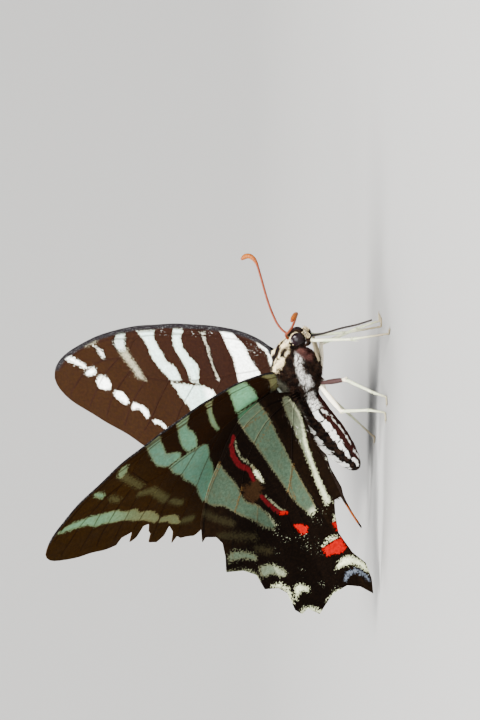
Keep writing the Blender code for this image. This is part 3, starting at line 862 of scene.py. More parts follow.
FORE_UPPER = Pattern(
    pale=[
        blob((0.6, 1.2), (1, 2), (2, 2.6), (2.9, 3), (2.4, 2.2), (1.7, 1.6), (1.4, 0.8),
             (1.4, -0.2), (1, -1.2), (0.7, 0.2)),
        band([(6.6, 4.7), (6, 3.6), (5.2, 2.8), (4.8, 1.4), (4.4, 0), (4, -0.8), (3.4, -1.6),
              (3, -3.4), (2.4, -5)],
             [(8.7, 4.8), (8.3, 3.8), (8.2, 3), (7.9, 2), (7.5, 0.5), (7.5, -1.5), (7.4, -3.5),
              (6.4, -6.4)]),
        band([(11, 4.9), (11.2, 4), (11.4, 3), (11.2, 2), (11.2, 0.6), (11, -1), (10.6, -3)],
             [(12.5, 4.9), (12.2, 3.6), (12, 2), (11.9, 0.5), (11.7, -1), (11.5, -3)]),
        band([(15, 5), (15.8, 4), (16.1, 3.2), (15.9, 2), (15.3, 1), (14.6, 0), (14.2, -0.8),
              (14.3, -2), (14.9, -3.6)],
             [(17, 5.1), (17.5, 3.8), (17.6, 3), (17.6, 2), (17.2, 1), (16.8, 0), (16.5, -1),
              (16.2, -2.2), (16.1, -3.4)]),
        band([(20.4, 4.8), (20.8, 3.7), (20.7, 3), (20.4, 2), (20, 1), (19.9, 0.1), (19.2, -0.6),
              (18.5, -1), (18, -2.2), (17.7, -3.3)],
             [(23.9, 4.6), (22.9, 3.3), (22.4, 2), (22.3, 1), (22, 0), (21.5, -1), (20.7, -2.2),
              (19.8, -3.4)]),
        blob((26.1, 4.2), (27.2, 4.2), (28.1, 3.4), (28.5, 2.4), (28, 1.4), (27, 1.5), (26.7, 2.2),
             (26.4, 3.4)),
        blob((31.1, 0.2), (31, 1), (31.6, 1.6), (32.5, 2), (32, 1.4), (31.8, 0.6), (31.4, 0.1)),
        blob((12.1, -5.2), (13.2, -4.4), (14.5, -4), (16, -3.9), (19.8, -3.7), (19.4, -4.6),
             (19, -5.6), (17.9, -7), (17.4, -8.2), (16.4, -10.6), (15.6, -12.8), (14.7, -16.4),
             (13.6, -15), (12.6, -11), (12, -7.6)),
        blob((34.8, -1.4), (35.2, -0.8), (36.4, 0), (37.4, 0.5), (38.4, 0.7), (39.2, 0), (38.6, -0.6),
             (37.6, -0.9), (36.6, -1.3), (35.4, -1.8)),
        blob((33.2, -1.9), (33.6, -1.4), (34.6, -1.4), (35.6, -2.2), (35.7, -3), (34.6, -3),
             (33.6, -2.6)),
        blob((31, -4.2), (31.3, -3.2), (32, -2.7), (33.2, -2.7), (34.2, -3.9), (34, -4.8),
             (33, -5.3), (31.6, -5.2)),
        blob((28.6, -6.8), (28.9, -5.8), (29.4, -5.2), (30.8, -4.9), (31.5, -5.8), (31, -6.6),
             (29.6, -7.6), (28.9, -7.4)),
        blob((25.2, -8.6), (25.8, -7.5), (27, -7.1), (28, -6.8), (28.8, -7.9), (28.2, -8.5),
             (27.2, -8.2), (26.6, -9), (26, -9.8), (25.3, -9.2)),
        blob((22.3, -11), (23.2, -10), (24.2, -9.5), (25.2, -9.6), (25, -10.4), (23.8, -10.8),
             (23.2, -11.7), (22.7, -11.4)),
        Stroke([(22.6, -12.6, 1.3), (21.6, -14, 1.3)]), Stroke([(20.8, -15.1, 1.2), (19.4, -17.2, 0.8)]),
    ],
    faint=[band([(26.6, 1.8), (26.1, 0.2), (25.4, -1), (24.6, -3.2)],
                [(28, 1.4), (27.3, 0), (26.7, -1), (25.8, -3)]),
           Stroke([(32.2, 2.9, 0.6), (34, 2.3, 0.5)])],
    dust=[(3.6, 2, 3), (10, 4.4, 1.8), (4, -0.2, 1.6), (13.6, 4.4, 1.4), (19, 4.5, 1.6)])

INNER_STRIPE = band([(0.3, 2), (0.4, 0), (0.5, -2), (0.8, -3), (1.3, -5), (1.8, -7),
                     (2.1, -9), (2.4, -11), (2.7, -14), (2.8, -16.2)],
                    [(3.1, 2.4), (2.8, 0), (2.5, -3), (2.65, -5), (2.8, -7), (3.05, -8.6),
                     (3.15, -10), (3.5, -12), (3.65, -14), (3.9, -16)])
LUNULES = [
    blob((16.9, -16), (17, -15.2), (17.6, -14.4), (18.6, -13.4), (19.8, -12.8), (20.6, -13.2),
         (20.8, -13.8), (20, -14.2), (19, -14.6), (18.2, -15.2), (17.4, -16)),
    blob((14.2, -20.6), (14.4, -19.6), (14.9, -18.8), (15.6, -18), (16.6, -17.4), (17.3, -17.4),
         (17.7, -18.2), (17.4, -19), (16.6, -19.2), (15.8, -19.6), (15.4, -20.2), (14.8, -20.8)),
    blob((12.3, -24.8), (12.6, -24), (13.2, -23.2), (14, -23), (14.6, -23.8), (14.9, -24.8),
         (14.2, -24.4), (13.4, -24.4), (12.8, -24.9)),
    blob((3, -28.6), (3, -27), (3.6, -25.6), (4.4, -24.6), (5.2, -24.2), (6.2, -24.2),
         (7, -24.6), (7.2, -25), (6.2, -25.2), (5.2, -25.6), (4.6, -26), (4, -26.8), (3.4, -28.2)),
    Stroke([(4.7, -21.2, 0.3), (5.3, -20.8, 0.5), (6, -20.5, 0.5), (7.2, -20.8, 0.3)]),
    Stroke([(3.4, -18.2, 0.4), (4, -18.8, 0.3)]),
    Stroke([(21.6, -15, 0.4), (20.4, -15.8, 0.5), (19.2, -16.6, 0.5), (18.4, -17.8, 0.5),
            (18.2, -18.6, 0.4)]),
    Stroke([(17, -20.9, 0.4), (16, -21.4, 0.6), (15.4, -22.4, 0.6), (15.3, -23.6, 0.6),
            (15.7, -24.8, 0.4)]),
    Stroke([(15.2, -26.9, 0.5), (14.4, -26.8, 0.6), (13.6, -27.4, 0.6), (12.5, -28.8, 0.5)]),
    Stroke([(10.8, -28, 0.3), (9.5, -27.6, 0.3), (8.5, -27.8, 0.3)]),
]
BASE_STRIPE = band([(5.4, 3.2), (5.1, 1), (5.1, -2), (5.1, -5), (5.2, -8), (5.2, -11),
                    (5.2, -14), (5.5, -15.8)],
                   [(9.6, 3.2), (9.3, 0), (8.9, -2), (8.6, -4), (8.4, -6), (8.2, -8),
                    (8, -10), (7.8, -12), (7.3, -14), (6.6, -15.8)])
CELL_STRIPE = band([(15, -0.4), (14.7, -2.5), (14.3, -4), (14.1, -5.4), (14.2, -7), (13.9, -8.3),
                    (13, -9.2), (12.3, -11.2), (12, -12.4), (11.8, -13.8)],
                   [(19.6, -3.4), (19.2, -5), (18.3, -5.8), (17.4, -6.6), (16.6, -8), (15.6, -9.6),
                    (14.6, -11), (13.6, -13), (12.6, -14.1)])
HIND_RED = [
    blob((4.2, -21.7), (4.7, -21.3), (6.2, -21.2), (7.5, -21), (7.6, -21.6), (7.4, -22.4),
         (6.6, -22.8), (5.6, -23.3), (4.4, -23.4), (4.2, -22.8)),
    blob((3.6, -19.2), (4.2, -18.8), (4.4, -19.4), (4.2, -20.4)),
]
HIND_BLUE = [Stroke([(3.6, -29.6, 0.25), (3.8, -28.5, 0.4), (4.4, -27.4, 0.5), (5, -26.8, 0.5),
                     (6, -26.6, 0.5), (6.9, -27.1, 0.3)])]
DUST = [(6, -17.3, 1.5), (6.7, -16.2, 1.4), (9.5, -17.5, 2.2), (9.4, -19.4, 1.8), (8, -20.2, 1.6),
        (11.5, -16.2, 1.8), (14, -17, 1.2), (8.3, -21.3, 1.2), (11.8, -21.8, 1.3),
        (10.2, -25.4, 1.5), (8.7, -27, 1.4), (12.4, -14.4, 1.8), (5.4, -20.2, 1),
        (7.2, -24.9, 1.2), (3.2, -17.4, 1.1), (4.8, -16.6, 1.2)]
HIND_UNDER = Pattern(
    pale=[INNER_STRIPE, BASE_STRIPE, CELL_STRIPE] + LUNULES + [
        Stroke([(11.3, 0.8, 0.25), (11.7, -0.8, 0.3), (11.7, -2.2, 0.3), (11.1, -3.4, 0.4)]),
        Stroke([(10.7, -4.2, 0.5), (10.7, -5.2, 0.6), (10.6, -6.2, 0.75), (10.5, -7.2, 0.4)]),
        Stroke([(11.1, -9.2, 0.2), (10.8, -10.6, 0.35), (10.2, -12.2, 0.3), (9.7, -12.8, 0.2)])],
    line=[Stroke([(11.3, 1.2, 0.6), (12.2, 0.2, 0.7), (12.6, -1, 0.8), (12.6, -2.2, 0.8),
                  (12.2, -3.3, 0.8), (11.5, -4.2, 0.7), (11.4, -5.4, 0.7), (11.5, -6.1, 0.6)]),
          Stroke([(11.7, -8.9, 0.5), (11.4, -10.2, 0.6), (11, -11.6, 0.6), (10.5, -12.5, 0.6)])],
    red=HIND_RED + [Stroke([(10.4, -12.7, 0.5), (9.7, -13.2, 0.5)]),
                    blob((7.9, -16.8), (8.4, -16.2), (9.2, -15.6), (9.6, -15.4), (9.5, -16.4),
                         (9.2, -17.2), (8.6, -17.6), (8.2, -17.4))],
    blue=HIND_BLUE,
    tan=[Stroke([(14.8, -0.7, 0.2), (17.5, -2.6, 0.2), (19.8, -4, 0.2)]),
         Stroke([(13.6, -6, 0.2), (16.3, -8.2, 0.2)]),
         Stroke([(5, -8, 0.2), (6, -8.9, 0.22), (7, -10, 0.25), (7.9, -10.8, 0.2)]),
         Stroke([(7, -10, 0.2), (7.4, -12.4, 0.18)]),
         Stroke([(5, 1.2, 0.12), (9.2, 1.3, 0.12)]), Stroke([(5.2, -0.5, 0.12), (8.5, -2.2, 0.12)])],
    faint=[Stroke([(20, -9.8, 0.8), (18, -11.3, 1), (15.6, -13.2, 0.8)]),
           Stroke([(20.4, -5.6, 0.8), (19.2, -7.4, 1), (17.6, -9.4, 0.8)]),
           Stroke([(16.2, -14.8, 0.8), (14.8, -16.2, 0.9)])],
    rub=[blob((11.1, -6.4), (12.4, -6.3), (13.7, -6.1), (13.9, -7.6), (13.3, -8.9), (12.2, -8.9),
              (11.3, -8.3), (10.8, -7.2))],
    dust=DUST)
HIND_UPPER = Pattern(pale=[INNER_STRIPE, BASE_STRIPE, CELL_STRIPE] + LUNULES, red=HIND_RED,
                     blue=HIND_BLUE, dust=DUST)
STRIP_RUST = [Stroke([(5.4, -29.2, 0.5), (5.2, -30.8, 0.6), (4.75, -32.4, 0.5)])]
SPLIT_UPPER, SPLIT_UNDER = [
    replace(pattern, rust=STRIP_RUST, blue=[], red=[], pale=[m for m in pattern.pale if m is not LUNULES[3]])
    for pattern in (HIND_UPPER, HIND_UNDER)]


@dataclass
class Wing:
    """One wing: a thin veined sheet bent as in life, with its scales as markings."""

    name: str
    side: Side
    outline: Line
    veins: dict[str, Line]
    upper: Pattern
    under: Pattern
    hinge: Point
    opened: float
    twist: float
    sweep: float
    fore: bool
    slot: str
    cell: float = 0.21
    thickness: float = 0.15
    vein_base: float = 0.16
    vein_tip: float = 0.09

    def placement(self) -> Matrix:
        """Place the wing as it is raised, twisted and swept.

        Returns:
            The wing's own frame in the model, in millimetres.
        """
        side = self.side.value
        turn = Euler((side * (pi / 2 - radians(self.opened)), radians(self.twist),
                      side * radians(self.sweep)), "ZYX").to_matrix().to_4x4()
        x, y, z = self.hinge
        return BODY @ Matrix.Translation((x, side * y, z)) @ turn

    def camber(self, span: Array, forward: Array) -> Array:
        """Bend the membrane as in life.

        Args:
            span: distances along the span.
            forward: distances forward of the hinge.

        Returns:
            Heights over the wing's plane.
        """
        if self.fore:
            arch = 0.35 * ease(forward, -6.0, 3.0) * ease(span, 2.0, 10.0)
            height = 0.3 * ease(-forward, 1.0, 5.0) * ease(14.0 - span, 0.0, 6.0) + arch
            # The torn part waves a little
            if self.side is Side.RIGHT:
                torn = ease(span + forward * -0.6, 30.0, 40.0) * ease(-forward, 8.0, 14.0)
                height = height + 0.25 * torn * np.sin(span * 1.1)
        else:
            height = -0.75 * ease(forward, -7.0, 2.0)
            height = height - 0.5 * ease(2.6 - span, 0.0, 2.0) * ease(-forward, 1.0, 5.0)
        fold = 0.05 * np.sin(span * 0.9 + forward * 0.35) + 0.04 * np.sin(forward * 1.3 - span * 0.4)
        return height + fold * ease(span, 3.0, 12.0)

    def sheet(self) -> BMesh:
        """Cut a grid to the wing's outline and give it thickness.

        Returns:
            The flat sheet, in wing coordinates.
        """
        low = np.min(self.outline, axis=0) - self.cell
        high = np.max(self.outline, axis=0) + self.cell
        count = np.ceil((high - low) / self.cell).astype(int)
        bm = bmesh.new()
        bmesh.ops.create_grid(bm, x_segments=int(count[0]), y_segments=int(count[1]), size=0.5)
        size = count * self.cell
        middle = low + size / 2
        bmesh.ops.transform(bm, verts=bm.verts, matrix=Matrix.Translation((*middle, 0.0))
                            @ Matrix.Diagonal((*size, 1.0, 1.0)))
        centres = np.array([f.calc_center_median()[:2] for f in bm.faces])
        # Faces outside the outline go
        kept = Patch(self.outline).depth(centres) > -0.02
        bmesh.ops.delete(bm, geom=[f for f, keep in zip(bm.faces, kept) if not keep], context="FACES")
        # So do faces that touch at a corner only
        for _ in range(3):
            loose = {f for v in bm.verts if sum(e.is_boundary for e in v.link_edges) > 2
                     for f in v.link_faces}
            if not loose:
                break
            bmesh.ops.delete(bm, geom=list(loose), context="FACES")
        # The rim is drawn onto the outline
        rim = [v for v in bm.verts if v.is_boundary]
        flat = np.array([v.co[:2] for v in rim])
        _, snapped = nearest(flat, self.outline + self.outline[:1])
        for vert, place in zip(rim, snapped):
            vert.co.x, vert.co.y = place
        bmesh.ops.remove_doubles(bm, verts=bm.verts, dist=0.02)
        bmesh.ops.solidify(bm, geom=list(bm.faces), thickness=self.thickness)
        heights = [v.co.z for v in bm.verts]
        middle_z = 0.5 * (min(heights) + max(heights))
        for vert in bm.verts:
            vert.co.z -= middle_z
        return bm

    def add_veins(self, bm: BMesh) -> None:
        """Lay the veins through the sheet so that they stand proud on both faces.

        Args:
            bm: the sheet, which takes them.
        """
        for name, line in self.veins.items():
            path = smooth(line, 8)
            points = np.array(path)
            inside = Patch(self.outline).depth(points) > 0.05
            inside |= points[:, 0] < 1.0
            path = [p for p, keep in zip(path, inside) if keep]
            share = np.array([p[0] for p in path]) / 40.0 if self.fore else \
                np.array([hypot(*p) for p in path]) / 26.0
            radii = self.vein_base + (self.vein_tip - self.vein_base) * np.clip(share, 0.0, 1.0)
            if name in ("radius", "subcosta") and self.fore:
                radii = radii * 1.25
            add_tube(bm, path, list(radii), 7)
        border = smooth(FORE_COSTA[1:15] if self.fore else HIND_COSTA[1:], 6)
        radii = [0.12 - 0.05 * i / len(border) for i in range(len(border))]
        add_tube(bm, border, radii, 7)

    def fore_values(self, flat: Array, upper: Array, pale: Array) -> dict[str, Array]:
        """Tint, wear and shade of a fore wing.

        Args:
            flat: wing coordinates.
            upper: whether the vertex lies on the upper face.
            pale: depths in the pale markings.

        Returns:
            Named arrays.
        """
        span, forward = flat.T
        # The outer half, where the pale marks turn cream
        distal = np.where(upper, ease(span - 0.5 * forward, 24.0, 34.0),
                          ease(span - 0.5 * forward, 23.0, 27.5))
        # Behind the cell
        low = ease(-forward, 2.6, 3.2)
        # The narrow band across the middle of the cell
        rim = (span - 11.7) ** 2 < 1.6
        # The spots towards the tip of the upper face
        blobs = upper * (span > 22.0) * (span - 2.0 * forward > 32.0)
        pale = pale - 0.20 * blobs - 0.20 * upper * rim * (1.0 - low)
        # How green the pale scales are
        green = np.where(upper, ease(span, 13.0, 15.0) * (1.0 - distal) - 0.15 * (span > 15.0),
                         ease(span, 9.0, 15.0) * (1.0 - 0.6 * distal)
                         - 0.22 * (span > 14.5) * (span < 19.0) * (1.0 - low))
        # How cream they are
        warm = distal * (0.30 + 0.5 * ease(33.0 - span, 0.0, 8.0)) + 0.9 * ease(3.8 - span, 0.0, 1.0)
        warm = warm + 0.35 * rim * (1.0 - low) + 0.35 * ease(forward, 2.6, 4.8) * (span < 25.0)
        warm = np.where(upper, 0.65 * rim * (1.0 - low), warm)
        # How far the dark ground is worn to brown
        worn = np.where(upper, ease(span - forward, 10.0, 34.0), ease(span - 0.4 * forward, 17.0, 28.0))
        # How bright the face is
        shade = np.where(upper, 1.0 - 0.35 * (span > 24.4) * (1.0 - blobs) * (pale > -0.4), 1.0)
        shade = np.where(upper & rim & (low < 0.5) & (pale > -0.3), 0.55, shade)
        # How ragged the edges of the marks are
        pepper = 0.48 + 0.40 * (span > 24.4) * (forward > -3.4)
        # The dark strip along the front edge
        border, _ = nearest(flat, FORE_COSTA[:14])
        costa = np.where(upper, 1.0 - ease(border, 0.45, 0.65), 1.0 - ease(border, 0.12, 0.22))
        # How dark the veins are where they cross the pale marks
        ray = np.where(upper, 0.7, 1.0)
        return {"pale": pale, "green": green, "warm": warm, "worn": worn, "shade": shade, "pepper": pepper,
                "costa": costa, "ray": ray}

    def hind_values(self, flat: Array, upper: Array, pale: Array) -> dict[str, Array]:
        """Tint, wear and shade of a hind wing.

        Args:
            flat: wing coordinates.
            upper: whether the vertex lies on the upper face.
            pale: depths in the pale markings.

        Returns:
            Named arrays.
        """
        span, forward = flat.T
        # The outer margin, beyond the stripes
        outer = ease(-forward, 14.5, 16.5)
        # How green the pale scales are
        green = ease(span, 4.2, 4.9) * (1.0 - outer) * (1.0 - (span > 9.9) * (span < 11.8))
        green = np.maximum(green, 0.72 * outer * (span > 11.6) * (span - forward < 36.2)
                           * (span + forward < 3.5))
        # The two spots nearest the tip
        first = (span > 16.4) * (forward < -12.4) * (forward > -16.4)
        green = np.where(first, 0.955, green)
        green = np.where((span > 15.4) * (forward < -16.9) * (forward > -19.8), 0.90, green)
        # The pale line beside the red line
        by_line = (span > 9.3) & (span < 12.3) & (forward < 1.5) & (forward > -13.6)
        by_line &= (forward > -4.2) | (forward < -8.4)
        green = np.where(by_line, 0.86, green)
        green = np.where(upper, 0.5 * green, green)
        # The stripe along the inner edge, bright in its middle and grey beside it
        inner = ease(3.6 - span, 0.0, 0.6)
        pale = pale - 0.9 * ease(forward, -2.0, 2.2) * (span < 4.4) * ~upper
        bright = np.interp(forward, [-16, -12, -8, -6, -5, -4, -3],
                           [3.3, 2.9, 2.25, 1.8, 1.45, 1.15, 0.8])
        grey = ease(np.abs(span - bright), 0.10, 0.34) * inner * ease(forward, -15.0, -7.0)
        green = np.maximum(green, 0.84 * grey)
        # How cream they are
        warm = 0.2 * ease(forward, -2.4, -0.4) * inner + 0.9 * (np.abs(forward + 4.6) < 0.5) \
            * (span > 9.9) * (span < 11.4)
        # How far the dark ground is worn to brown
        worn = 0.15 + 0.85 * ease(span, 16.0, 21.0) * ease(14.0 + forward, 0.0, 2.0)
        worn = worn + 0.5 * ease(5.4 - span, 0.0, 1.0)
        # How bright the face is
        shade = 1.0 + 0.40 * ease(-forward, 4.0, 15.0) * (span > 4.4) * (span < 9.6)
        shade = shade - 0.25 * ease(-forward, 9.0, 11.0) * (span > 11.0) * (1.0 - outer)
        # Painted shade: the inner edge darkened to half near the root, where it lies in shadow
        shade = np.where(span < 4.6, 0.50 + 0.5 * ease(-forward, 1.5, 7.0), shade)
        # Painted shade: the upper face made almost black along its front edge, which lies under the fore
        # wing
        border, _ = nearest(flat, smooth(HIND_COSTA, 6))
        shade = np.where(upper & (border < 0.6), 0.06, shade)
        # How ragged the edges of the marks are
        pepper = 0.48 + 0.45 * outer + 0.7 * ease(-forward, 9.5, 13.5) * (span > 10.6) * (1.0 - outer)
        costa = np.zeros(len(flat))
        ray = 0.35 * (span > 4.4)
        return {"pale": pale, "green": green, "warm": warm, "worn": worn, "shade": shade, "pepper": pepper,
                "costa": costa, "ray": ray}

    def values(self, flat: Array, upper: Array) -> dict[str, Array]:
        """Measure everything that the shader reads.

        Args:
            flat: wing coordinates.
            upper: whether the vertex lies on the upper face.

        Returns:
            Named arrays.
        """
        on_top, below = self.upper.values(flat), self.under.values(flat)
        out = {key: np.where(upper, on_top[key], below[key]) for key in on_top}
        out["vein"] = np.full(len(flat), 9.0)
        for line in self.veins.values():
            out["vein"] = np.minimum(out["vein"], nearest(flat, smooth(line, 4))[0])
        tints = self.fore_values if self.fore else self.hind_values
        out.update(tints(flat, upper, out["pale"]))
        return out

    def build(self, finishes: Sequence[Material]) -> Object:
        """Make the wing as a piece that stands for its solid.

        Args:
            finishes: the materials of its upper face and its underside.

        Returns:
            The piece.
        """
        bm = self.sheet()
        self.add_veins(bm)
        mesh = raw_mesh(self.name + "_sheet", bm)
        points = read_points(mesh)
        flat = points[:, :2].copy()
        below = points[:, 2] <= 0.0
        under = np.array([bool(below[list(face.vertices)].any()) for face in mesh.polygons])
        mesh.polygons.foreach_set("material_index", under.astype(np.int32))
        write_values(mesh, self.values(flat, points[:, 2] > 0.0))
        write_uv(mesh, "WingPlane", flat / WING_PLANE)
        side = self.side.value
        height = points[:, 2] + self.camber(*flat.T)
        bent = np.c_[flat[:, 1], side * flat[:, 0], height]
        write_points(mesh, to_world(bent, self.placement()))
        if self.side is Side.LEFT:
            mesh.flip_normals()
        mesh.shade_smooth()
        mesh.set_sharp_from_angle(angle=radians(50.0))
        return publish(mesh, finishes, self.slot, [self.name])


def make_wings(ragged: NodeTree, grain: NodeTree) -> list[Wing]:
    """Build the four wings.

    Args:
        ragged: the group that roughens the edges of markings.
        grain: the group of wing scales.

    Returns:
        The wings.
    """
    looks: dict[tuple[str, Face], WingFinish] = {
        ("fore", Face.UPPER): WingFinish(
            (0.0100, 0.0036, 0.0022), (0.0120, 0.0050, 0.0015), (0.93, 0.96, 0.92), (0.34, 0.49, 0.44),
            (0.26, 0.24, 0.15), (0.020, 0.009, 0.004), (0.20, 0.19, 0.13)),
        # The fore wing's underside: its own colours, with the pale ones made darker by painted shade
        ("fore", Face.UNDER): WingFinish(
            (0.0066, 0.0023, 0.0005), (0.0165, 0.0071, 0.0009), (0.110, 0.290, 0.155), (0.064, 0.138, 0.092),
            (0.094, 0.072, 0.026), (0.022, 0.012, 0.004), (0.042, 0.038, 0.0140)),
        ("hind", Face.UPPER): WingFinish(
            (0.0040, 0.0020, 0.0013), (0.009, 0.0042, 0.0018), (0.66, 0.70, 0.62), (0.40, 0.52, 0.44),
            (0.20, 0.18, 0.10), (0.030, 0.014, 0.006), (0.03, 0.025, 0.012)),
        ("hind", Face.UNDER): WingFinish(
            (0.0010, 0.0006, 0.0005), (0.0057, 0.0028, 0.0011), (0.47, 0.51, 0.32), (0.0262, 0.042, 0.027),
            (0.044, 0.034, 0.015), (0.050, 0.026, 0.007), (0.0115, 0.0095, 0.0042)),
    }
    finishes = {key: look.material(f"{key[0]}_{key[1].name.lower()}_scales", ragged, grain)
                for key, look in looks.items()}
    costa, inner = smooth(FORE_COSTA, 2), smooth(FORE_INNER, 2)
    whole = costa + smooth(FORE_MARGIN, 2) + inner
    torn = costa + FORE_TATTER + inner
    hind_left = smooth(HIND_COSTA + HIND_APEX, 2) + HIND_MARGIN + HIND_STRIP + HIND_INNER
    hind_right = smooth(HIND_COSTA, 2) + HIND_APEX_TORN + HIND_MARGIN + HIND_TAIL + HIND_INNER
    wings = [
        Wing("forewing_left", Side.LEFT, whole, FORE_VEINS, FORE_UPPER, FORE_UNDER, FORE_HINGE,
             opened=32.8, twist=16.9, sweep=2.75, fore=True, slot="forewing"),
        Wing("forewing_right", Side.RIGHT, torn, FORE_VEINS, FORE_UPPER, FORE_UNDER, FORE_HINGE,
             opened=33.4, twist=24.4, sweep=-2.75, fore=True, slot="forewing"),
        Wing("hindwing_left", Side.LEFT, hind_left, HIND_VEINS, SPLIT_UPPER, SPLIT_UNDER, HIND_HINGE,
             opened=58.0, twist=-5.0, sweep=0.0, fore=False, slot="hindwing"),
        Wing("hindwing_right", Side.RIGHT, hind_right, HIND_VEINS, HIND_UPPER, HIND_UNDER, HIND_HINGE,
             opened=35.0, twist=-15.0, sweep=0.0, fore=False, slot="hindwing"),
    ]
    for wing in wings:
        wing.build([finishes["fore" if wing.fore else "hind", face] for face in Face])
    return wings


THORAX = [(4.3, -2.3, 0.7, 0.6), (3.7, -2.2, 1.5, 1.3), (2.5, -2.3, 2.3, 2.25), (0.8, -2.5, 2.9, 3.4),
          (-1.2, -2.4, 3.1, 3.7), (-3.2, -2.4, 2.8, 3.1), (-4.8, -2.4, 2.15, 2.3),
          (-5.5, -2.4, 1.7, 1.8)]
ABDOMEN = [(-4.6, -2.4, 1.6, 1.7), (-5.8, -2.4, 1.65, 1.75), (-7.5, -2.45, 1.9, 2),
           (-10, -2.75, 2.1, 2.25), (-13, -3.35, 2.2, 2.4), (-16, -4, 2, 2.15),
           (-18.3, -4.6, 1.5, 1.6), (-19.8, -5, 0.9, 0.95), (-20.4, -5.15, 0.35, 0.35)]
JOINTS = [-7.3, -9.3, -11.4, -13.5, -15.5, -17.3, -18.8]
HEAD = [(1.45, 0.0, 0.45, 0.55), (1.1, 0.0, 0.9, 1.05), (0.6, 0.0, 1.1, 1.4), (0.0, 0.0, 1.15, 1.5),
        (-0.8, 0.0, 1.05, 1.3), (-1.5, 0.0, 0.75, 0.9)]
EYE_CENTRE = (0.44, 1.0, -0.38)
EYE_SIZE = (0.98, 0.62, 0.98)
# Millimetres that stand for one degree round the body
ANGLE_STEP = 0.05
# The tail end and the length of the unwrapped body
BODY_START = -21.0
BODY_LENGTH = 28.0


def strip(*points: Point) -> Line:
    """Marking points given as (forward, degrees from the back), made even in both directions."""
    return [(x, angle * ANGLE_STEP) for x, angle in points]


CREAM = [
    band(strip((2.1, 34), (2.5, 42), (2.9, 50), (3.1, 60), (3.1, 70), (3.5, 80), (3.7, 90), (3.9, 105),
               (4.4, 130)),
         strip((1.2, 36), (1.4, 42), (1.6, 50), (1.9, 60), (2.3, 70), (2.8, 80), (3.1, 90), (3.4, 105),
               (3.8, 130))),
    Stroke([(x, y, 0.5) for x, y in strip((4.4, 64), (3.6, 52), (2.9, 40), (2.4, 29), (2, 18))]),
]
CREAM_LINE = strip((1.9, 50), (2.4, 61), (3.1, 78), (3.6, 104))
GREY = [
    band(strip((3, 142), (2.7, 124), (2.4, 113), (1.9, 104), (1.2, 99), (0.4, 98), (-0.8, 98), (-2.2, 103)),
         strip((1.9, 142), (1.6, 128), (1.1, 117), (0.6, 115), (-0.1, 124), (-1.4, 130), (-2.3, 128))),
    band(strip((-3.2, 104), (-4.4, 95), (-6, 94), (-7.4, 96)),
         strip((-3.2, 126), (-4.4, 134), (-6, 146), (-7.4, 150))),
]
OLIVE = [
    band(strip((1.3, 3), (1, 30), (0.6, 50)), strip((-4, 3), (-3.4, 28), (-2.4, 46), (-0.8, 56))),
]
WHITE = [
    band(strip((-8.1, 18), (-12, 17), (-15, 18), (-18.6, 22)),
         strip((-7.7, 32), (-8.4, 50), (-9.2, 55), (-9.9, 66), (-11.2, 71), (-11.4, 66), (-12.9, 74),
               (-13.1, 68), (-14.3, 72), (-14.8, 86), (-15.1, 74), (-16.4, 81), (-16.7, 76),
               (-17.6, 92), (-18.4, 97), (-19.4, 80))),
    band(strip((-7, 97), (-8.2, 99), (-9.2, 104), (-9.6, 109), (-11, 106), (-11.2, 111),
               (-12.8, 108), (-13, 113), (-14.6, 109), (-14.9, 115), (-16.4, 115), (-17.2, 122),
               (-18.2, 128), (-19.2, 128)),
         strip((-7, 117), (-8, 124), (-9, 131), (-10, 137), (-11.8, 139), (-12.4, 133),
               (-13.5, 140), (-14.6, 130), (-15.4, 135), (-16.8, 127), (-17.6, 140), (-18.2, 151),
               (-19.3, 150))),
    Stroke([(x, y, 0.5) for x, y in strip((-7.9, 139), (-8.6, 152), (-9.4, 166))]),
    Stroke([(x, y, 0.46) for x, y in strip((-10, 158), (-11.8, 164), (-13, 162), (-15.2, 163))]),
    Stroke([(x, y, 0.6) for x, y in strip((-16.4, 156), (-17.4, 165), (-18.4, 172))]),
]
PINK = [Patch(strip((3, 136), (3, 176), (1.3, 178), (1.2, 152), (1.6, 140), (2.2, 136)))]
MAROON = [
    band(strip((-5.6, 138), (-10, 138), (-14, 138), (-18.4, 138)),
         strip((-5.6, 185), (-10, 185), (-14, 185), (-18.4, 185))),
]


def body_angle(points: Array) -> tuple[Array, Array]:
    """Place body points on the unwrapped body.

    Args:
        points: body frame points.

    Returns:
        The forward coordinate, and the signed angle from the back in degrees, left positive.
    """
    stations = np.array(sorted(smooth(THORAX, 4) + smooth(ABDOMEN, 4)))
    middle = np.interp(points[:, 0], stations[:, 0], stations[:, 1])
    angle = np.degrees(np.arctan2(points[:, 1], points[:, 2] - middle))
    return points[:, 0], angle


def body_plane(points: Array) -> Array:
    """Body frame points on the unwrapped body, 0 to 1 both ways."""
    forward, angle = body_angle(points)
    return np.c_[(forward - BODY_START) / BODY_LENGTH, angle / 360.0 + 0.5]


def eye_reach(points: Array) -> Array:
    """Measure how far points lie from the nearer eye.

    Args:
        points: body frame points.

    Returns:
        Distances from the eye's centre in eye radii.
    """
    local = to_local(points, NECK)
    x, y, z = EYE_CENTRE
    centres = [(x, side.value * y, z) for side in Side]
    return np.minimum(*[np.linalg.norm((local - centre) / EYE_SIZE, axis=1) for centre in centres])


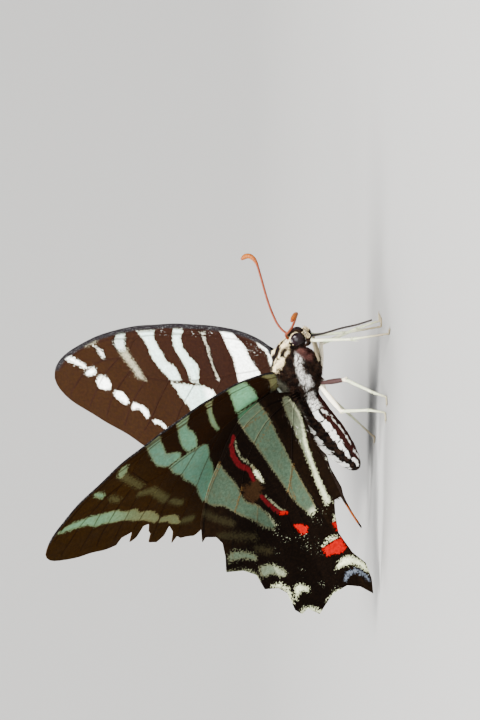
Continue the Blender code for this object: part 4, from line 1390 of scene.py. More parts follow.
def body_values(points: Array) -> dict[str, Array]:
    """Measure the body's markings.

    Args:
        points: body frame points.

    Returns:
        Depths by kind, in millimetres.
    """
    forward, angle = body_angle(points)
    flat = np.c_[forward, np.abs(angle) * ANGLE_STEP]
    # Distance from the nearest joint
    joint = np.min([np.abs(forward - j) for j in JOINTS], axis=0)
    x, y, z = to_local(points, SKULL).T
    y = np.abs(y)
    ahead = to_local(points, NECK)[:, 0] - EYE_CENTRE[0]
    on_head = ease(forward - 0.25 * points[:, 2], 4.1, 4.6)
    # Pale fur over the brow, on the nape, at the front and round the eye
    brow = np.minimum(0.12 - np.abs(y - 0.62), np.minimum(z - 0.35, 1.05 - x))
    nape = np.minimum(0.10 - np.abs(y - 0.34), np.minimum(z - 1.15, 0.1 - x))
    front = np.minimum(np.minimum(x - 1.38, y - 0.36), np.minimum(0.68 - y, z - 0.12))
    lash = np.minimum(1.18 - eye_reach(points), np.minimum(ahead - 0.65, z - 0.10))
    head_pale = np.clip(np.max([brow, nape, front, lash], axis=0), -0.6, 0.6)
    # The collar, split by a thin dark line
    cream = deepest(CREAM, flat) - 0.10
    cream = np.minimum(cream, nearest(flat, CREAM_LINE)[0])
    # The stripes of the abdomen, cut by each joint
    turned = flat + np.c_[np.zeros(len(flat)), 5.0 * ANGLE_STEP * ease(-forward, 6.5, 8.5)]
    white = deepest(WHITE, turned)
    phase = np.interp(-forward, [-j for j in JOINTS], range(len(JOINTS))) % 1.0
    notch = np.where((forward < -8.4) & (forward > -18.8), 0.16 * (phase > 0.75) + 0.05, 0.0)
    white = np.where(forward < -6.8, np.minimum(white - notch, 1.3 * joint - 0.16), white)
    head = on_head > 0.5
    named = {"white": white, "grey": deepest(GREY, flat), "olive": deepest(OLIVE, flat),
             "pink": deepest(PINK, flat), "maroon": deepest(MAROON, turned)}
    out = {key: np.where(head, -2.0, depth) for key, depth in named.items()}
    out["cream"] = np.where(head, head_pale, cream)
    return out


@dataclass(frozen=True)
class BodyFinish:
    """Fur and scales of the body, the same colours on skin and tufts."""

    dark: Colour = (0.0030, 0.0018, 0.0014)
    brown: Colour = (0.020, 0.0100, 0.0060)
    cream: Colour = (0.86, 0.70, 0.40)
    white: Colour = (0.95, 0.94, 0.88)
    grey: Colour = (0.16, 0.145, 0.13)
    olive: Colour = (0.052, 0.051, 0.034)
    pink: Colour = (0.060, 0.024, 0.020)
    maroon: Colour = (0.026, 0.0060, 0.0045)

    def material(self, name: str, ragged: NodeTree, tufts: bool) -> Material:
        """Build the material.

        Args:
            name: its name.
            ragged: the group that roughens the edges of markings.
            tufts: whether it is for tufts, which are paler at their tips, or for the skin.

        Returns:
            The material.
        """
        material, graph, shader = start_material(name)
        mix, step, noise, times = graph.mix, graph.step, graph.noise, graph.times
        place = graph.object_place()
        amount = 0.12 if tufts else 0.2

        def mask(name: str, soft: float) -> Socket:
            """The mask of one marking."""
            return graph.mask(ragged, name, place, 2.0 * amount, amount, soft)

        # Dark fur, browner in patches
        patchy = noise(place, 1.7, 4.0)
        mottle = noise(place, 3.2, 3.0, 0.7)
        colour = mix(step(patchy, 0.40, 0.62, 0.0, 1.0), self.dark, self.brown)
        colour = mix(mask("maroon", 0.3), colour, self.maroon)
        # Long hair on the back
        olive = mix(step(mottle, 0.48, 0.7, 0.0, 0.5), self.olive, self.grey)
        colour = mix(mask("olive", 0.25), colour, olive)
        # Grey and pink fur on the flanks
        grey = mix(step(mottle, 0.44, 0.60), mix(0.15, self.white, self.grey), self.grey)
        grey = mix(step(noise(place, 1.9, 4.0, 0.7), 0.53, 0.60, 0.0, 0.9), grey, self.brown)
        colour = mix(mask("grey", 0.22), colour, grey)
        colour = mix(times(mask("pink", 0.3), 0.9), colour, self.pink)
        # Stripes of the abdomen
        white = mix(step(mottle, 0.60, 0.74, 0.0, 0.7), self.white, self.grey)
        colour = mix(mask("white", 0.07), colour, white)
        # Collar and head
        cream = mix(step(patchy, 0.45, 0.75, 0.0, 0.5), self.cream, self.white)
        cream = mix(step(mottle, 0.62, 0.74, 0.0, 0.7), cream, self.brown)
        colour = mix(mask("cream", 0.08), colour, cream)
        # Tufts get paler towards their tips
        if tufts:
            shade = times(step(graph.value("along"), 0.0, 1.0, 0.78, 1.12),
                          step(graph.value("lot"), 0.0, 1.0, 0.70, 1.20))
        else:
            shade = step(noise(place, 7.0, 3.0), 0.2, 0.8, 0.55, 0.9)
        colour = graph.shaded(colour, shade)
        height = noise(graph.stretch(place, (2.0, 9.0, 9.0)), 1.0, 4.0)
        set_shader(graph, shader, colour, 0.62 if tufts else 0.8, None if tufts else height, bump=0.05,
                   strength=0.7, Specular_IOR_Level=0.03)
        return material


@dataclass
class Skin:
    """Head, thorax and abdomen as one surface, a coat's depth inside their solids."""

    voxel: float = 0.13
    thorax_inset: float = 0.32
    abdomen_inset: float = -0.02
    head_inset: float = 0.20

    def waist(self, forward: float) -> float:
        """How far the abdomen is drawn in at its joints."""
        near = min(abs(forward - j) for j in JOINTS)
        return 1.0 - 0.05 * max(0.0, 1.0 - near / 0.28)

    def forms(self) -> BMesh:
        """Make the separate masses that are then fused.

        Returns:
            The masses, in the body frame.
        """
        bm = bmesh.new()
        add_loft(bm, THORAX, sides=48, steps=6, inset=self.thorax_inset)
        add_loft(bm, ABDOMEN, sides=48, steps=14, inset=self.abdomen_inset, waist=self.waist)
        add_loft(bm, HEAD, sides=40, steps=6, inset=self.head_inset, frame_matrix=SKULL)
        # Neck and face
        add_ball(bm, (3.7, 0.0, -3.1), (1.0, 0.95, 1.1))
        add_ball(bm, tuple(SKULL @ Vector((0.95, 0.0, -0.25))), (0.62, 0.62, 0.78))
        # Roots of the wings, and then the hips
        for s in (1.0, -1.0):
            add_ball(bm, (0.6, s * 2.0, -0.35), (1.7, 0.8, 0.75))
            add_ball(bm, (2.0, s * 1.45, -0.7), (0.8, 0.55, 0.5))
            add_ball(bm, (-3.3, s * 2.0, -1.3), (1.4, 0.75, 0.7))
            for x, y, z in ((2.3, 0.75, -4.2), (-0.6, 1.0, -5.3), (-2.6, 1.0, -4.75)):
                add_ball(bm, (x, s * y, z), (0.75, 0.5, 0.75))
        return bm

    def build(self, material: Material) -> Object:
        """Fuse the masses, smooth them and mark them.

        Args:
            material: the skin's material.

        Returns:
            The piece.
        """
        block = link("skin_forms", raw_mesh("skin_forms", self.forms()))
        fuse = block.modifiers.new("fuse", "REMESH")
        fuse.mode = "VOXEL"
        fuse.voxel_size = self.voxel
        graph = bpy.context.evaluated_depsgraph_get()
        fused = block.evaluated_get(graph).to_mesh()
        bm = bmesh.new()
        bm.from_mesh(fused)
        bpy.data.objects.remove(block, do_unlink=True)
        for _ in range(4):
            bmesh.ops.smooth_vert(bm, verts=bm.verts, factor=0.5, use_axis_x=True, use_axis_y=True,
                                  use_axis_z=True)
        local = np.array([v.co[:] for v in bm.verts])
        mesh = finish_mesh("body_skin", bm, BODY, 180.0)
        write_values(mesh, body_values(local))
        write_uv(mesh, "BodyPlane", body_plane(local))
        return publish(mesh, [material], "thorax_fur", ["head", "thorax", "abdomen"])


@dataclass(frozen=True)
class Tuft:
    """The shape of one kind of tuft; lift is how far it leans out of the surface, 0 to 1."""

    length: float
    radius: float
    lift: float
    flat: float = 1.0
    bend: float = 0.25
    spread: float = 0.35

    def template(self) -> tuple[Array, Array]:
        """Make a tapered three-sided spike of unit length with two bends.

        Returns:
            Its points and its faces.
        """
        bm = bmesh.new()
        bmesh.ops.create_cone(bm, cap_ends=True, segments=3, radius1=1.0, radius2=0.0, depth=1.0)
        bmesh.ops.translate(bm, verts=bm.verts, vec=(0.0, 0.0, 0.5))
        for height in (0.35, 0.7):
            bmesh.ops.bisect_plane(bm, geom=list(bm.verts) + list(bm.edges) + list(bm.faces),
                                   plane_co=(0.0, 0.0, height), plane_no=(0.0, 0.0, 1.0))
        bmesh.ops.triangulate(bm, faces=bm.faces)
        bmesh.ops.recalc_face_normals(bm, faces=bm.faces)
        bm.verts.index_update()
        points = np.array([v.co[:] for v in bm.verts])
        faces = np.array([[v.index for v in f.verts] for f in bm.faces])
        bm.free()
        belly = 1.0 + 0.9 * points[:, 2] * (1.0 - points[:, 2])
        points[:, :2] *= belly[:, None]
        return points, faces


def scatter(mesh: Mesh, count: int, rng: Generator, matrix: Matrix,
            density: Optional[Callable[[Array], Array]] = None) -> tuple[Array, Array]:
    """Pick random roots on a mesh.

    Args:
        mesh: a mesh in metres.
        count: how many roots to pick before thinning.
        rng: the random source.
        matrix: the local frame that roots are returned in.
        density: share of roots to keep, from local points.

    Returns:
        Roots and outward normals in the local frame, in millimetres.
    """
    mesh.calc_loop_triangles()
    corners = np.empty(len(mesh.loop_triangles) * 3, dtype=np.int32)
    mesh.loop_triangles.foreach_get("vertices", corners)
    points = to_local(read_points(mesh) / MM, matrix)
    a, b, c = points[corners.reshape(-1, 3)].transpose(1, 0, 2)
    cross = np.cross(b - a, c - a)
    area = np.linalg.norm(cross, axis=1)
    chosen = rng.choice(len(area), count, p=area / area.sum())
    u, v = rng.random((2, count))
    # A root outside its triangle is folded back into it
    over = u + v > 1.0
    u[over], v[over] = 1.0 - u[over], 1.0 - v[over]
    roots = a[chosen] + u[:, None] * (b - a)[chosen] + v[:, None] * (c - a)[chosen]
    normals = cross[chosen] / area[chosen][:, None]
    if density is None:
        return roots, normals
    keep = rng.random(count) < density(roots)
    return roots[keep], normals[keep]


def grow(roots: Array, normals: Array, lay: Array, tuft: Tuft, size: Array,
         rng: Generator) -> tuple[Array, Array, Array, Array]:
    """Stand a tuft on every root.

    Args:
        roots: where they stand.
        normals: outward directions there.
        lay: the direction in which the coat lies.
        tuft: their shape.
        size: a length factor for each.
        rng: the random source.

    Returns:
        Points, faces, the root number of each point, and its place along the tuft.
    """
    shape, faces = tuft.template()
    count = len(roots)
    # The lie of the coat in the surface, and each tuft turned a little from it
    flat_lay = lay - normals * np.sum(lay * normals, axis=1)[:, None]
    flat_lay /= np.linalg.norm(flat_lay, axis=1)[:, None] + 1e-9
    across = np.cross(normals, flat_lay)
    sway = rng.normal(0.0, tuft.spread, count)
    along = flat_lay * np.cos(sway)[:, None] + across * np.sin(sway)[:, None]
    # How far each tuft leans out
    lift = np.clip(tuft.lift * rng.uniform(0.6, 1.4, count), 0.02, 0.98)[:, None]
    start = along * (1.0 - lift) + normals * lift
    start /= np.linalg.norm(start, axis=1)[:, None]
    side = np.cross(normals, start)
    side /= np.linalg.norm(side, axis=1)[:, None] + 1e-9
    up = np.cross(start, side)
    length = tuft.length * size * rng.uniform(0.7, 1.25, count)
    radius = tuft.radius * rng.uniform(0.75, 1.25, count)
    # Every point of every tuft, from its root
    t = shape[:, 2][None, :, None]
    middle = roots[:, None] + start[:, None] * (t * length[:, None, None])
    droop = (along - start)[:, None] * (tuft.bend * t * t * length[:, None, None])
    ring = side[:, None] * (shape[:, 0][None, :, None] * radius[:, None, None])
    ring = ring + up[:, None] * (shape[:, 1][None, :, None] * radius[:, None, None] * tuft.flat)
    points = (middle + droop + ring - normals[:, None] * 0.04).reshape(-1, 3)
    index = (faces[None] + (np.arange(count) * len(shape))[:, None, None]).reshape(-1, 3)
    owner = np.repeat(np.arange(count), len(shape))
    return points, index, owner, np.tile(shape[:, 2], count)


def coat_piece(name: str, grown: tuple[Array, Array, Array, Array], values: dict[str, Array],
               unwrap: Array, matrix: Matrix, material: Material, slot: str,
               rng: Generator) -> Object:
    """Join tufts into one piece.

    Args:
        name: the piece's name.
        grown: what grow gave.
        values: numbers for each root.
        unwrap: each root's place on the unwrapped skin, 0 to 1.
        matrix: the frame of the points.
        material: its material.
        slot: the material slot, passed on to publish.
        rng: the random source.

    Returns:
        The piece.
    """
    points, faces, owner, along = grown
    mesh = bpy.data.meshes.new(name)
    mesh.from_pydata(to_world(points, matrix).tolist(), [], faces.tolist())
    named = {key: numbers[owner] for key, numbers in values.items()}
    named["along"] = along
    named["lot"] = rng.random(len(unwrap))[owner]
    write_values(mesh, named)
    across = (np.arange(len(owner)) % 3) / 3.0
    patch = 0.003 * np.c_[across, along]
    write_uv(mesh, "OFBake", unwrap[owner] * 0.994 + patch)
    mesh.shade_smooth()
    return publish(mesh, [material], slot)


def body_lay(roots: Array) -> Array:
    """Lay the fur backwards on the body, and down and outwards on the head.

    Args:
        roots: body frame points.

    Returns:
        A direction for each root.
    """
    lay = np.tile(np.array((-1.0, 0.0, -0.12)), (len(roots), 1))
    on_head = ease(roots[:, 0], 3.6, 4.4)[:, None]
    local = roots - np.array(HEAD_CENTRE)
    radial = local / (np.linalg.norm(local, axis=1)[:, None] + 1e-6)
    head = np.array((0.55, 0.0, -0.75)) + radial * 0.5
    return lay * (1.0 - on_head) + head * on_head


@dataclass
class Coat:
    """Fur on thorax and head and flat scales on the abdomen."""

    skin: Object
    material: Material
    thorax: Tuft = Tuft(0.95, 0.045, 0.32, 0.8, 0.5, 0.30)
    collar: Tuft = Tuft(0.55, 0.036, 0.34, 0.8, 0.5, 0.25)
    scales: Tuft = Tuft(0.42, 0.075, 0.14, 0.35, 0.7, 0.18)
    thorax_roots: int = 26000
    head_roots: int = 60000
    abdomen_roots: int = 24000
    thorax_ends: tuple[float, float] = (-5.6, 3.9)
    head_start: float = 3.3
    abdomen_end: float = -5.2
    eye_gap: float = 1.03

    def on_thorax(self, points: Array) -> Array:
        """Whether body frame points lie on the thorax."""
        return (points[:, 0] < self.thorax_ends[1]) & (points[:, 0] > self.thorax_ends[0])

    def build(self) -> None:
        """Grow every part of the coat."""
        rng = np.random.default_rng(SEED)
        # Piece, tuft, roots, slot, and where it grows
        regions = [
            ("thorax_coat_left", self.thorax, self.thorax_roots, "thorax_fur",
             lambda p: self.on_thorax(p) & (p[:, 1] >= 0.0)),
            ("thorax_coat_right", self.thorax, self.thorax_roots, "thorax_fur",
             lambda p: self.on_thorax(p) & (p[:, 1] < 0.0)),
            ("head_coat", self.collar, self.head_roots, "head_fur",
             lambda p: (p[:, 0] >= self.head_start) & (eye_reach(p) > self.eye_gap)),
            ("abdomen_coat_left", self.scales, self.abdomen_roots, "abdomen_scales",
             lambda p: (p[:, 0] <= self.abdomen_end) & (p[:, 1] >= 0.0)),
            ("abdomen_coat_right", self.scales, self.abdomen_roots, "abdomen_scales",
             lambda p: (p[:, 0] <= self.abdomen_end) & (p[:, 1] < 0.0)),
        ]
        for name, tuft, count, slot, where in regions:
            roots, normals = scatter(self.skin.data, count, rng, BODY, where)
            roots, normals = roots[:TUFT_LIMIT], normals[:TUFT_LIMIT]
            size = np.ones(len(roots))
            if slot == "head_fur":
                size = np.clip((eye_reach(roots) - 1.0) * 1.2, 0.35, 1.0)
            if slot == "thorax_fur":
                size = 1.0 - 0.5 * ease(roots[:, 0], 0.6, 2.2) - 0.35 * ease(-roots[:, 0], 3.6, 5.4)
            grown = grow(roots, normals, body_lay(roots), tuft, size, rng)
            unwrap = np.clip(body_plane(roots), 0.0, 1.0)
            coat_piece(name, grown, body_values(roots), unwrap, BODY, self.material, slot, rng)


@dataclass(frozen=True)
class ShellFinish:
    """Smooth or lightly scaled shell."""

    colour: Colour
    second: Colour
    roughness: float
    scale: float
    coat: float

    def material(self, name: str) -> Material:
        """Build the material.

        Args:
            name: its name.

        Returns:
            The material.
        """
        material, graph, shader = start_material(name)
        place = graph.object_place()
        noise = graph.noise(place, self.scale, 4.0)
        fine = graph.noise(place, self.scale * 6.0, 3.0)
        colour = graph.mix(graph.step(noise, 0.4, 0.65), self.colour, self.second)
        gloss = graph.step(fine, 0.3, 0.7, self.roughness - 0.08, self.roughness + 0.08)
        set_shader(graph, shader, colour, gloss, fine, bump=0.01, strength=0.5,
                   Coat_Weight=self.coat, Coat_Roughness=0.25, Specular_IOR_Level=0.15)
        return material


@dataclass(frozen=True)
class EyeFinish:
    """A compound eye: dark, faceted and wet-looking, with patches of painted sheen."""

    colour: Colour = (0.0038, 0.0016, 0.0017)
    # A lighter tint for painted sheen
    painted_sheen: Colour = (0.006, 0.0025, 0.0035)

    def material(self, name: str) -> Material:
        """Build the material.

        Args:
            name: its name.

        Returns:
            The material.
        """
        material, graph, shader = start_material(name)
        place = graph.object_place()
        facets = graph.add("TexVoronoi", {"feature": "F1"}, {"Vector": place, "Scale": 22.0,
                                                             "Randomness": 0.25}).outputs[0]
        # Painted sheen: patches of the lighter tint laid over the dark eye
        patch = graph.noise(place, 0.9, 2.0)
        colour = graph.mix(graph.step(patch, 0.42, 0.62), self.colour, self.painted_sheen)
        set_shader(graph, shader, colour, 0.24, facets, bump=0.008, strength=0.25,
                   Specular_IOR_Level=0.16)
        return material


@dataclass
class FaceParts:
    """Eyes, palps and tongue."""

    palp_line: Sequence[Point] = (
        (-1.05, 0.72, -1.35), (-0.4, 0.8, -1.85), (0.4, 0.8, -1.88), (1.0, 0.74, -1.5))
    palp_radii: tuple[float, ...] = (0.24, 0.36, 0.34, 0.12)
    palp_hair: Tuft = Tuft(0.42, 0.03, 0.3, 0.7)
    palp_hairs: int = 1500
    tongue: Sequence[Point] = (
        (4.35, 0.0, -5.1), (4.2, 0.0, -5.6), (3.95, 0.0, -6.5), (3.72, 0.0, -8.0), (3.69, 0.0, -10.4),
        (3.47, 0.0, -13.0), (3.5, 0.0, -15.1))

    def build(self, eye: Material, fur: Material, shell: Material) -> None:
        """Make the pieces.

        Args:
            eye: the material of the eyes.
            fur: the material of the palps and their tufts.
            shell: the material of the tongue.
        """
        rng = np.random.default_rng(SEED + 1)
        for side in Side:
            word = side.name.lower()
            bm = bmesh.new()
            add_ball(bm, (EYE_CENTRE[0], side.value * EYE_CENTRE[1], EYE_CENTRE[2]), EYE_SIZE, 64, 40)
            mesh = finish_mesh("eye_globe_" + word, bm, BODY @ NECK, 180.0)
            publish(mesh, [eye], "eye", ["eye_" + word])
            line = smooth([(x, side.value * y, z) for x, y, z in self.palp_line], 6)
            radii = [r[0] for r in smooth([(r,) for r in self.palp_radii], 6)]
            bm = bmesh.new()
            add_tube(bm, line, [r * 0.75 for r in radii], 16)
            mesh = finish_mesh("palp_core_" + word, bm, BODY @ NECK, 180.0)
            marks = body_values(to_local(read_points(mesh) / MM, BODY))
            marks["cream"] = np.full(len(mesh.vertices), -1.0)
            write_values(mesh, marks)
            core = publish(mesh, [fur], "palp", ["palp_" + word])
            roots, normals = scatter(core.data, self.palp_hairs, rng, BODY)
            lay = np.tile(np.array((0.75, 0.0, -0.35)), (len(roots), 1))
            grown = grow(roots, normals, lay, self.palp_hair, np.ones(len(roots)), rng)
            values = body_values(roots)
            values["cream"] = np.where(roots[:, 0] > 4.3, rng.choice([1.0, -1.0], len(roots)), -1.0)
            values["grey"] = values["olive"] = np.full(len(roots), -1.0)
            unwrap = np.clip(np.c_[0.97 + 0.001 * roots[:, 0], (roots[:, 2] + 7.0) / 8.0], 0.0, 1.0)
            coat_piece("palp_coat_" + word, grown, values, unwrap, BODY, fur, "palp", rng)
        path = smooth(self.tongue, 26)
        radii = [0.19 - 0.06 * i / len(path) + 0.012 * sin(i * 1.3) for i in range(len(path))]
        bm = bmesh.new()
        for offset in (0.055, -0.055):
            add_tube(bm, [(x, y + offset, z) for x, y, z in path], [r * 0.8 for r in radii], 10)
        mesh = finish_mesh("tongue", bm, BODY, 60.0)
        publish(mesh, [shell], "proboscis", ["proboscis"])


@dataclass
class Feeler:
    """A ringed feeler that ends in a club."""

    name: str
    points: Line
    radius: float = 0.17
    club: float = 0.36
    club_length: float = 3.8
    rings: float = 0.36
    step: float = 0.045

    def build(self, shell: Material) -> None:
        """Make the feeler.

        Args:
            shell: its material, which reads where the club and the rings are.
        """
        path = np.array(smooth(self.points, 40))
        travelled = travel(path)
        # Even steps, so that the rings are evenly spaced
        even = np.arange(0.0, travelled[-1], self.step)
        path = np.c_[tuple(np.interp(even, travelled, path[:, i]) for i in range(3))]
        # The club swells towards the end
        left = even[-1] - even
        swell = ease(self.club_length - left, 0.0, self.club_length * 0.6) * ease(left, -0.25, 0.8)
        notch = np.abs((even / self.rings) % 1.0 - 0.5) * 2.0
        radii = (self.radius + (self.club - self.radius) * swell) * (1.0 - 0.13 * ease(notch, 0.72, 1.0))
        radii *= 1.0 + 0.15 * ease(0.5 - even, 0.0, 0.5)
        bm = bmesh.new()
        add_tube(bm, path, list(radii), 14)
        mesh = finish_mesh(self.name + "_shaft", bm, BODY, 180.0)
        points = read_points(mesh)
        world = to_world(path, BODY)
        near = np.array([np.argmin(((world[::4] - p) ** 2).sum(axis=1)) * 4 for p in points])
        write_values(mesh, {"club": swell[np.clip(near, 0, len(swell) - 1)],
                            "ring": notch[np.clip(near, 0, len(notch) - 1)]})
        publish(mesh, [shell], "antenna", [self.name])


@dataclass(frozen=True)
class FeelerFinish:
    """Orange shell, golden at the club and browner in its rings."""

    shaft: Colour = (0.120, 0.0165, 0.0010)
    deep: Colour = (0.085, 0.010, 0.0006)
    club: Colour = (0.20, 0.052, 0.0018)
    ring: Colour = (0.07, 0.014, 0.003)

    def material(self, name: str) -> Material:
        """Build the material.

        Args:
            name: its name.

        Returns:
            The material.
        """
        material, graph, shader = start_material(name)
        place = graph.object_place()
        noise = graph.noise(place, 2.5, 4.0)
        colour = graph.mix(graph.step(noise, 0.35, 0.7), self.shaft, self.deep)
        colour = graph.mix(graph.value("club"), colour, self.club)
        colour = graph.mix(graph.step(graph.value("ring"), 0.75, 1.0, 0.0, 0.5), colour, self.ring)
        set_shader(graph, shader, colour, 0.5, graph.noise(place, 12.0, 3.0), bump=0.01,
                   strength=0.5, Specular_IOR_Level=0.15)
        return material


LEGS = {
    "leg_fore_right": [(2.4, -1.1, 9.3), (6.9, -2.7, 10.5), (8.3, -4.6, 5.2), (9.6, -5.4, 0.9),
                       (9.9, -5.6, 0.15), (11, -6.2, 0.15)],
    "leg_fore_left": [(1.9, 1.3, 9.2), (4.5, 2.2, 10.1), (3.9, 3.6, 5.6), (4.1, 4.6, 0.9),
                      (4.3, 4.9, 0.15), (4.9, 5.9, 0.15)],
    "leg_mid_right": [(-1.2, -1.5, 8.8), (1, -3.9, 5.7), (0.15, -5.8, 2.1), (-0.1, -6.4, 0.6),
                      (-0.2, -6.7, 0.15), (-0.6, -7.8, 0.15)],
    "leg_mid_left": [(-1, 1.5, 8.8), (1.75, 4, 8.7), (2.7, 6.5, 3.4), (3.1, 7.4, 0.9),
                     (3.2, 7.7, 0.15), (3.7, 8.7, 0.15)],
    "leg_hind_right": [(-2, -1.1, 9), (-4.8, -3.4, 6.1), (-3.1, -5.6, 2.5), (-3, -6.2, 0.7),
                       (-3.1, -6.5, 0.15), (-3.6, -7.5, 0.15)],
    "leg_hind_left": [(-2.6, 1.5, 8.8), (-6.6, 3.8, 7.9), (-11.6, 5.3, 4), (-15.6, 6, 0.7),
                      (-16.1, 6.1, 0.15), (-17.3, 6.3, 0.15)],
}


@dataclass
class Leg:
    """Thigh, shin and a beaded foot with claws, in floor coordinates under the hinge."""

    name: str
    points: Line
    thigh: float = 0.34
    shin: float = 0.23
    foot: float = 0.16
    maroon: bool = False
    dull: bool = False
    hair: Tuft = Tuft(0.34, 0.032, 0.16, 0.5, 0.5, 0.2)
    hairs: int = 2600

    def bones(self) -> list[tuple[Line, list[float]]]:
        """Shape thigh, shin and foot.

        Returns:
            The middle line and the radii of each.
        """
        hip, knee, ankle, heel, ball, toe = [np.array(p) for p in self.points]
        out: list[tuple[Line, list[float]]] = []
        # Thigh
        share = np.linspace(0.0, 1.0, 14)
        swell = 0.72 + 0.4 * np.sin(pi * np.clip(share * 1.05, 0.0, 1.0)) ** 0.8
        out.append(([tuple(hip + (knee - hip) * t) for t in share], list(self.thigh * swell)))
        # Shin
        taper = 1.12 - 0.30 * share + 0.12 * ease(share, 0.85, 1.0)
        out.append(([tuple(knee + (ankle - knee) * t) for t in share], list(self.shin * taper)))
        # Foot, pinched at its joints and kept on the floor
        tarsus = [tuple(p) for p in (ankle, heel, ball, toe)]
        line = np.array(smooth(tarsus, 12))
        share = travel(line)
        share /= share[-1]
        joints = np.array([0.36, 0.55, 0.70, 0.84])
        near = np.min(np.abs(share[:, None] - joints), axis=1)
        radii = self.foot * (1.1 - 0.25 * share) * (1.0 - 0.3 * (1.0 - ease(near, 0.0, 0.03)))
        line[:, 2] = np.maximum(line[:, 2], radii)
        out.append(([tuple(p) for p in line], list(radii)))
        return out

    def build(self, pale: Material, rng: Generator) -> None:
        """Make the leg and its short hair.

        Args:
            pale: the material of both.
            rng: the random source.
        """
        bm = bmesh.new()
        for line, radii in self.bones():
            add_tube(bm, line, radii, 12)
        knee, ankle, _, ball, toe = [np.array(p) for p in self.points[1:]]
        add_ball(bm, tuple(knee), (self.shin * 1.25,) * 3, 14, 10)
        add_ball(bm, tuple(ankle), (self.foot * 1.3,) * 3, 14, 10)
        ahead = (toe - ball) / np.linalg.norm(toe - ball)
        across = np.cross(ahead, (0.0, 0.0, 1.0))
        for s in (1.0, -1.0):
            claw = [toe, toe + ahead * 0.22 + across * s * 0.14 + (0.0, 0.0, 0.06),
                    toe + ahead * 0.36 + across * s * 0.22 + (0.0, 0.0, -0.07)]
            spur = [ankle, ankle + (ankle - knee) * 0.05 + across * s * 0.25,
                    ankle + (ankle - knee) * 0.14 + across * s * 0.34]
            for spike in (claw, spur):
                path = smooth([(p[0], p[1], max(p[2], 0.05)) for p in spike], 4)
                add_tube(bm, path, [0.05 - 0.004 * i for i in range(9)], 6)
        local = np.array([v.co[:] for v in bm.verts])
        mesh = finish_mesh(self.name + "_limb", bm, GROUND, 180.0)
        write_values(mesh, self.values(local))
        limb = publish(mesh, [pale], "leg", [self.name])
        roots, normals = scatter(limb.data, self.hairs, rng, GROUND, lambda p: p[:, 2] > 0.35)
        size = 0.5 + 0.5 * ease(roots[:, 2], 1.0, 5.0)
        grown = grow(roots, normals, self.lay(roots), self.hair, size, rng)
        grown[0][:, 2] = np.maximum(grown[0][:, 2], 0.01)
        span = np.ptp(np.array(self.points), axis=0) + 1e-6
        unwrap = np.clip((roots - np.min(self.points, axis=0)) / span, 0.0, 1.0)[:, :2]
        coat_piece(self.name + "_coat", grown, self.values(roots), unwrap, GROUND, pale, "leg", rng)

    def lay(self, roots: Array) -> Array:
        """Lay the hair along the leg towards the foot.

        Args:
            roots: where the hair stands.

        Returns:
            A direction for each root.
        """
        corners = [np.array(p) for p in self.points]
        best = np.full(len(roots), 1e9)
        lay = np.zeros_like(roots)
        for a, b in zip(corners, corners[1:]):
            t = np.clip(share_along(roots, a, b), 0.0, 1.0)
            distance = np.linalg.norm(roots - a - t[:, None] * (b - a), axis=1)
            closer = distance < best
            best[closer] = distance[closer]
            lay[closer] = (b - a) / np.linalg.norm(b - a)
        return lay

    def values(self, points: Array) -> dict[str, Array]:
        """Say where the leg turns from thigh to foot, and where it is dark red.

        Args:
            points: floor coordinates under the hinge.

        Returns:
            Named arrays.
        """
        hip, knee, ankle = [np.array(p) for p in self.points[:3]]
        along = share_along(points, hip, knee)
        held = np.clip(along, 0.0, 1.0)
        on_thigh = np.linalg.norm(points - hip - held[:, None] * (knee - hip), axis=1)
        on_shin = share_along(points, knee, ankle)
        thigh = (on_thigh < 0.62) & (along < 1.02)
        red = np.where(thigh & self.maroon, 0.9 - held, -1.0)
        if self.dull:
            return {"red": red, "far": np.where(thigh, 1.9, np.clip(on_shin, 0.0, 2.0)),
                    "thigh": np.zeros(len(points))}
        return {"red": red, "far": np.clip(on_shin, 0.0, 2.0) * ~thigh,
                "thigh": thigh.astype(float)}


@dataclass(frozen=True)
class LegFinish:
    """White thighs, pale green shins and browner feet, with some thighs dark red."""

    thigh: Colour = (0.80, 0.72, 0.55)
    shin: Colour = (0.40, 0.46, 0.28)
    shin_warm: Colour = (0.50, 0.48, 0.35)
    foot: Colour = (0.085, 0.050, 0.024)
    red: Colour = (0.022, 0.0075, 0.0075)
    rubbed: Colour = (0.16, 0.10, 0.05)

    def material(self, name: str, ragged: NodeTree) -> Material:
        """Build the material.

        Args:
            name: its name.
            ragged: the group that roughens the edges of markings.

        Returns:
            The material.
        """
        material, graph, shader = start_material(name)
        place = graph.object_place()
        fine = graph.noise(place, 9.0, 3.0)
        colour = graph.mix(graph.step(graph.noise(place, 2.2, 4.0), 0.3, 0.7), self.shin, self.shin_warm)
        colour = graph.mix(graph.value("thigh"), colour, self.thigh)
        colour = graph.mix(graph.step(graph.value("far"), 0.9, 1.8, 0.0, 0.85), colour, self.foot)
        colour = graph.mix(graph.mask(ragged, "red", place, 0.1, 0.05, 0.06), colour, self.red)
        colour = graph.mix(graph.step(fine, 0.55, 0.75, 0.0, 0.35), colour, self.rubbed)
        set_shader(graph, shader, colour, 0.6, fine, bump=0.02, strength=0.6, Specular_IOR_Level=0.3)
        return material


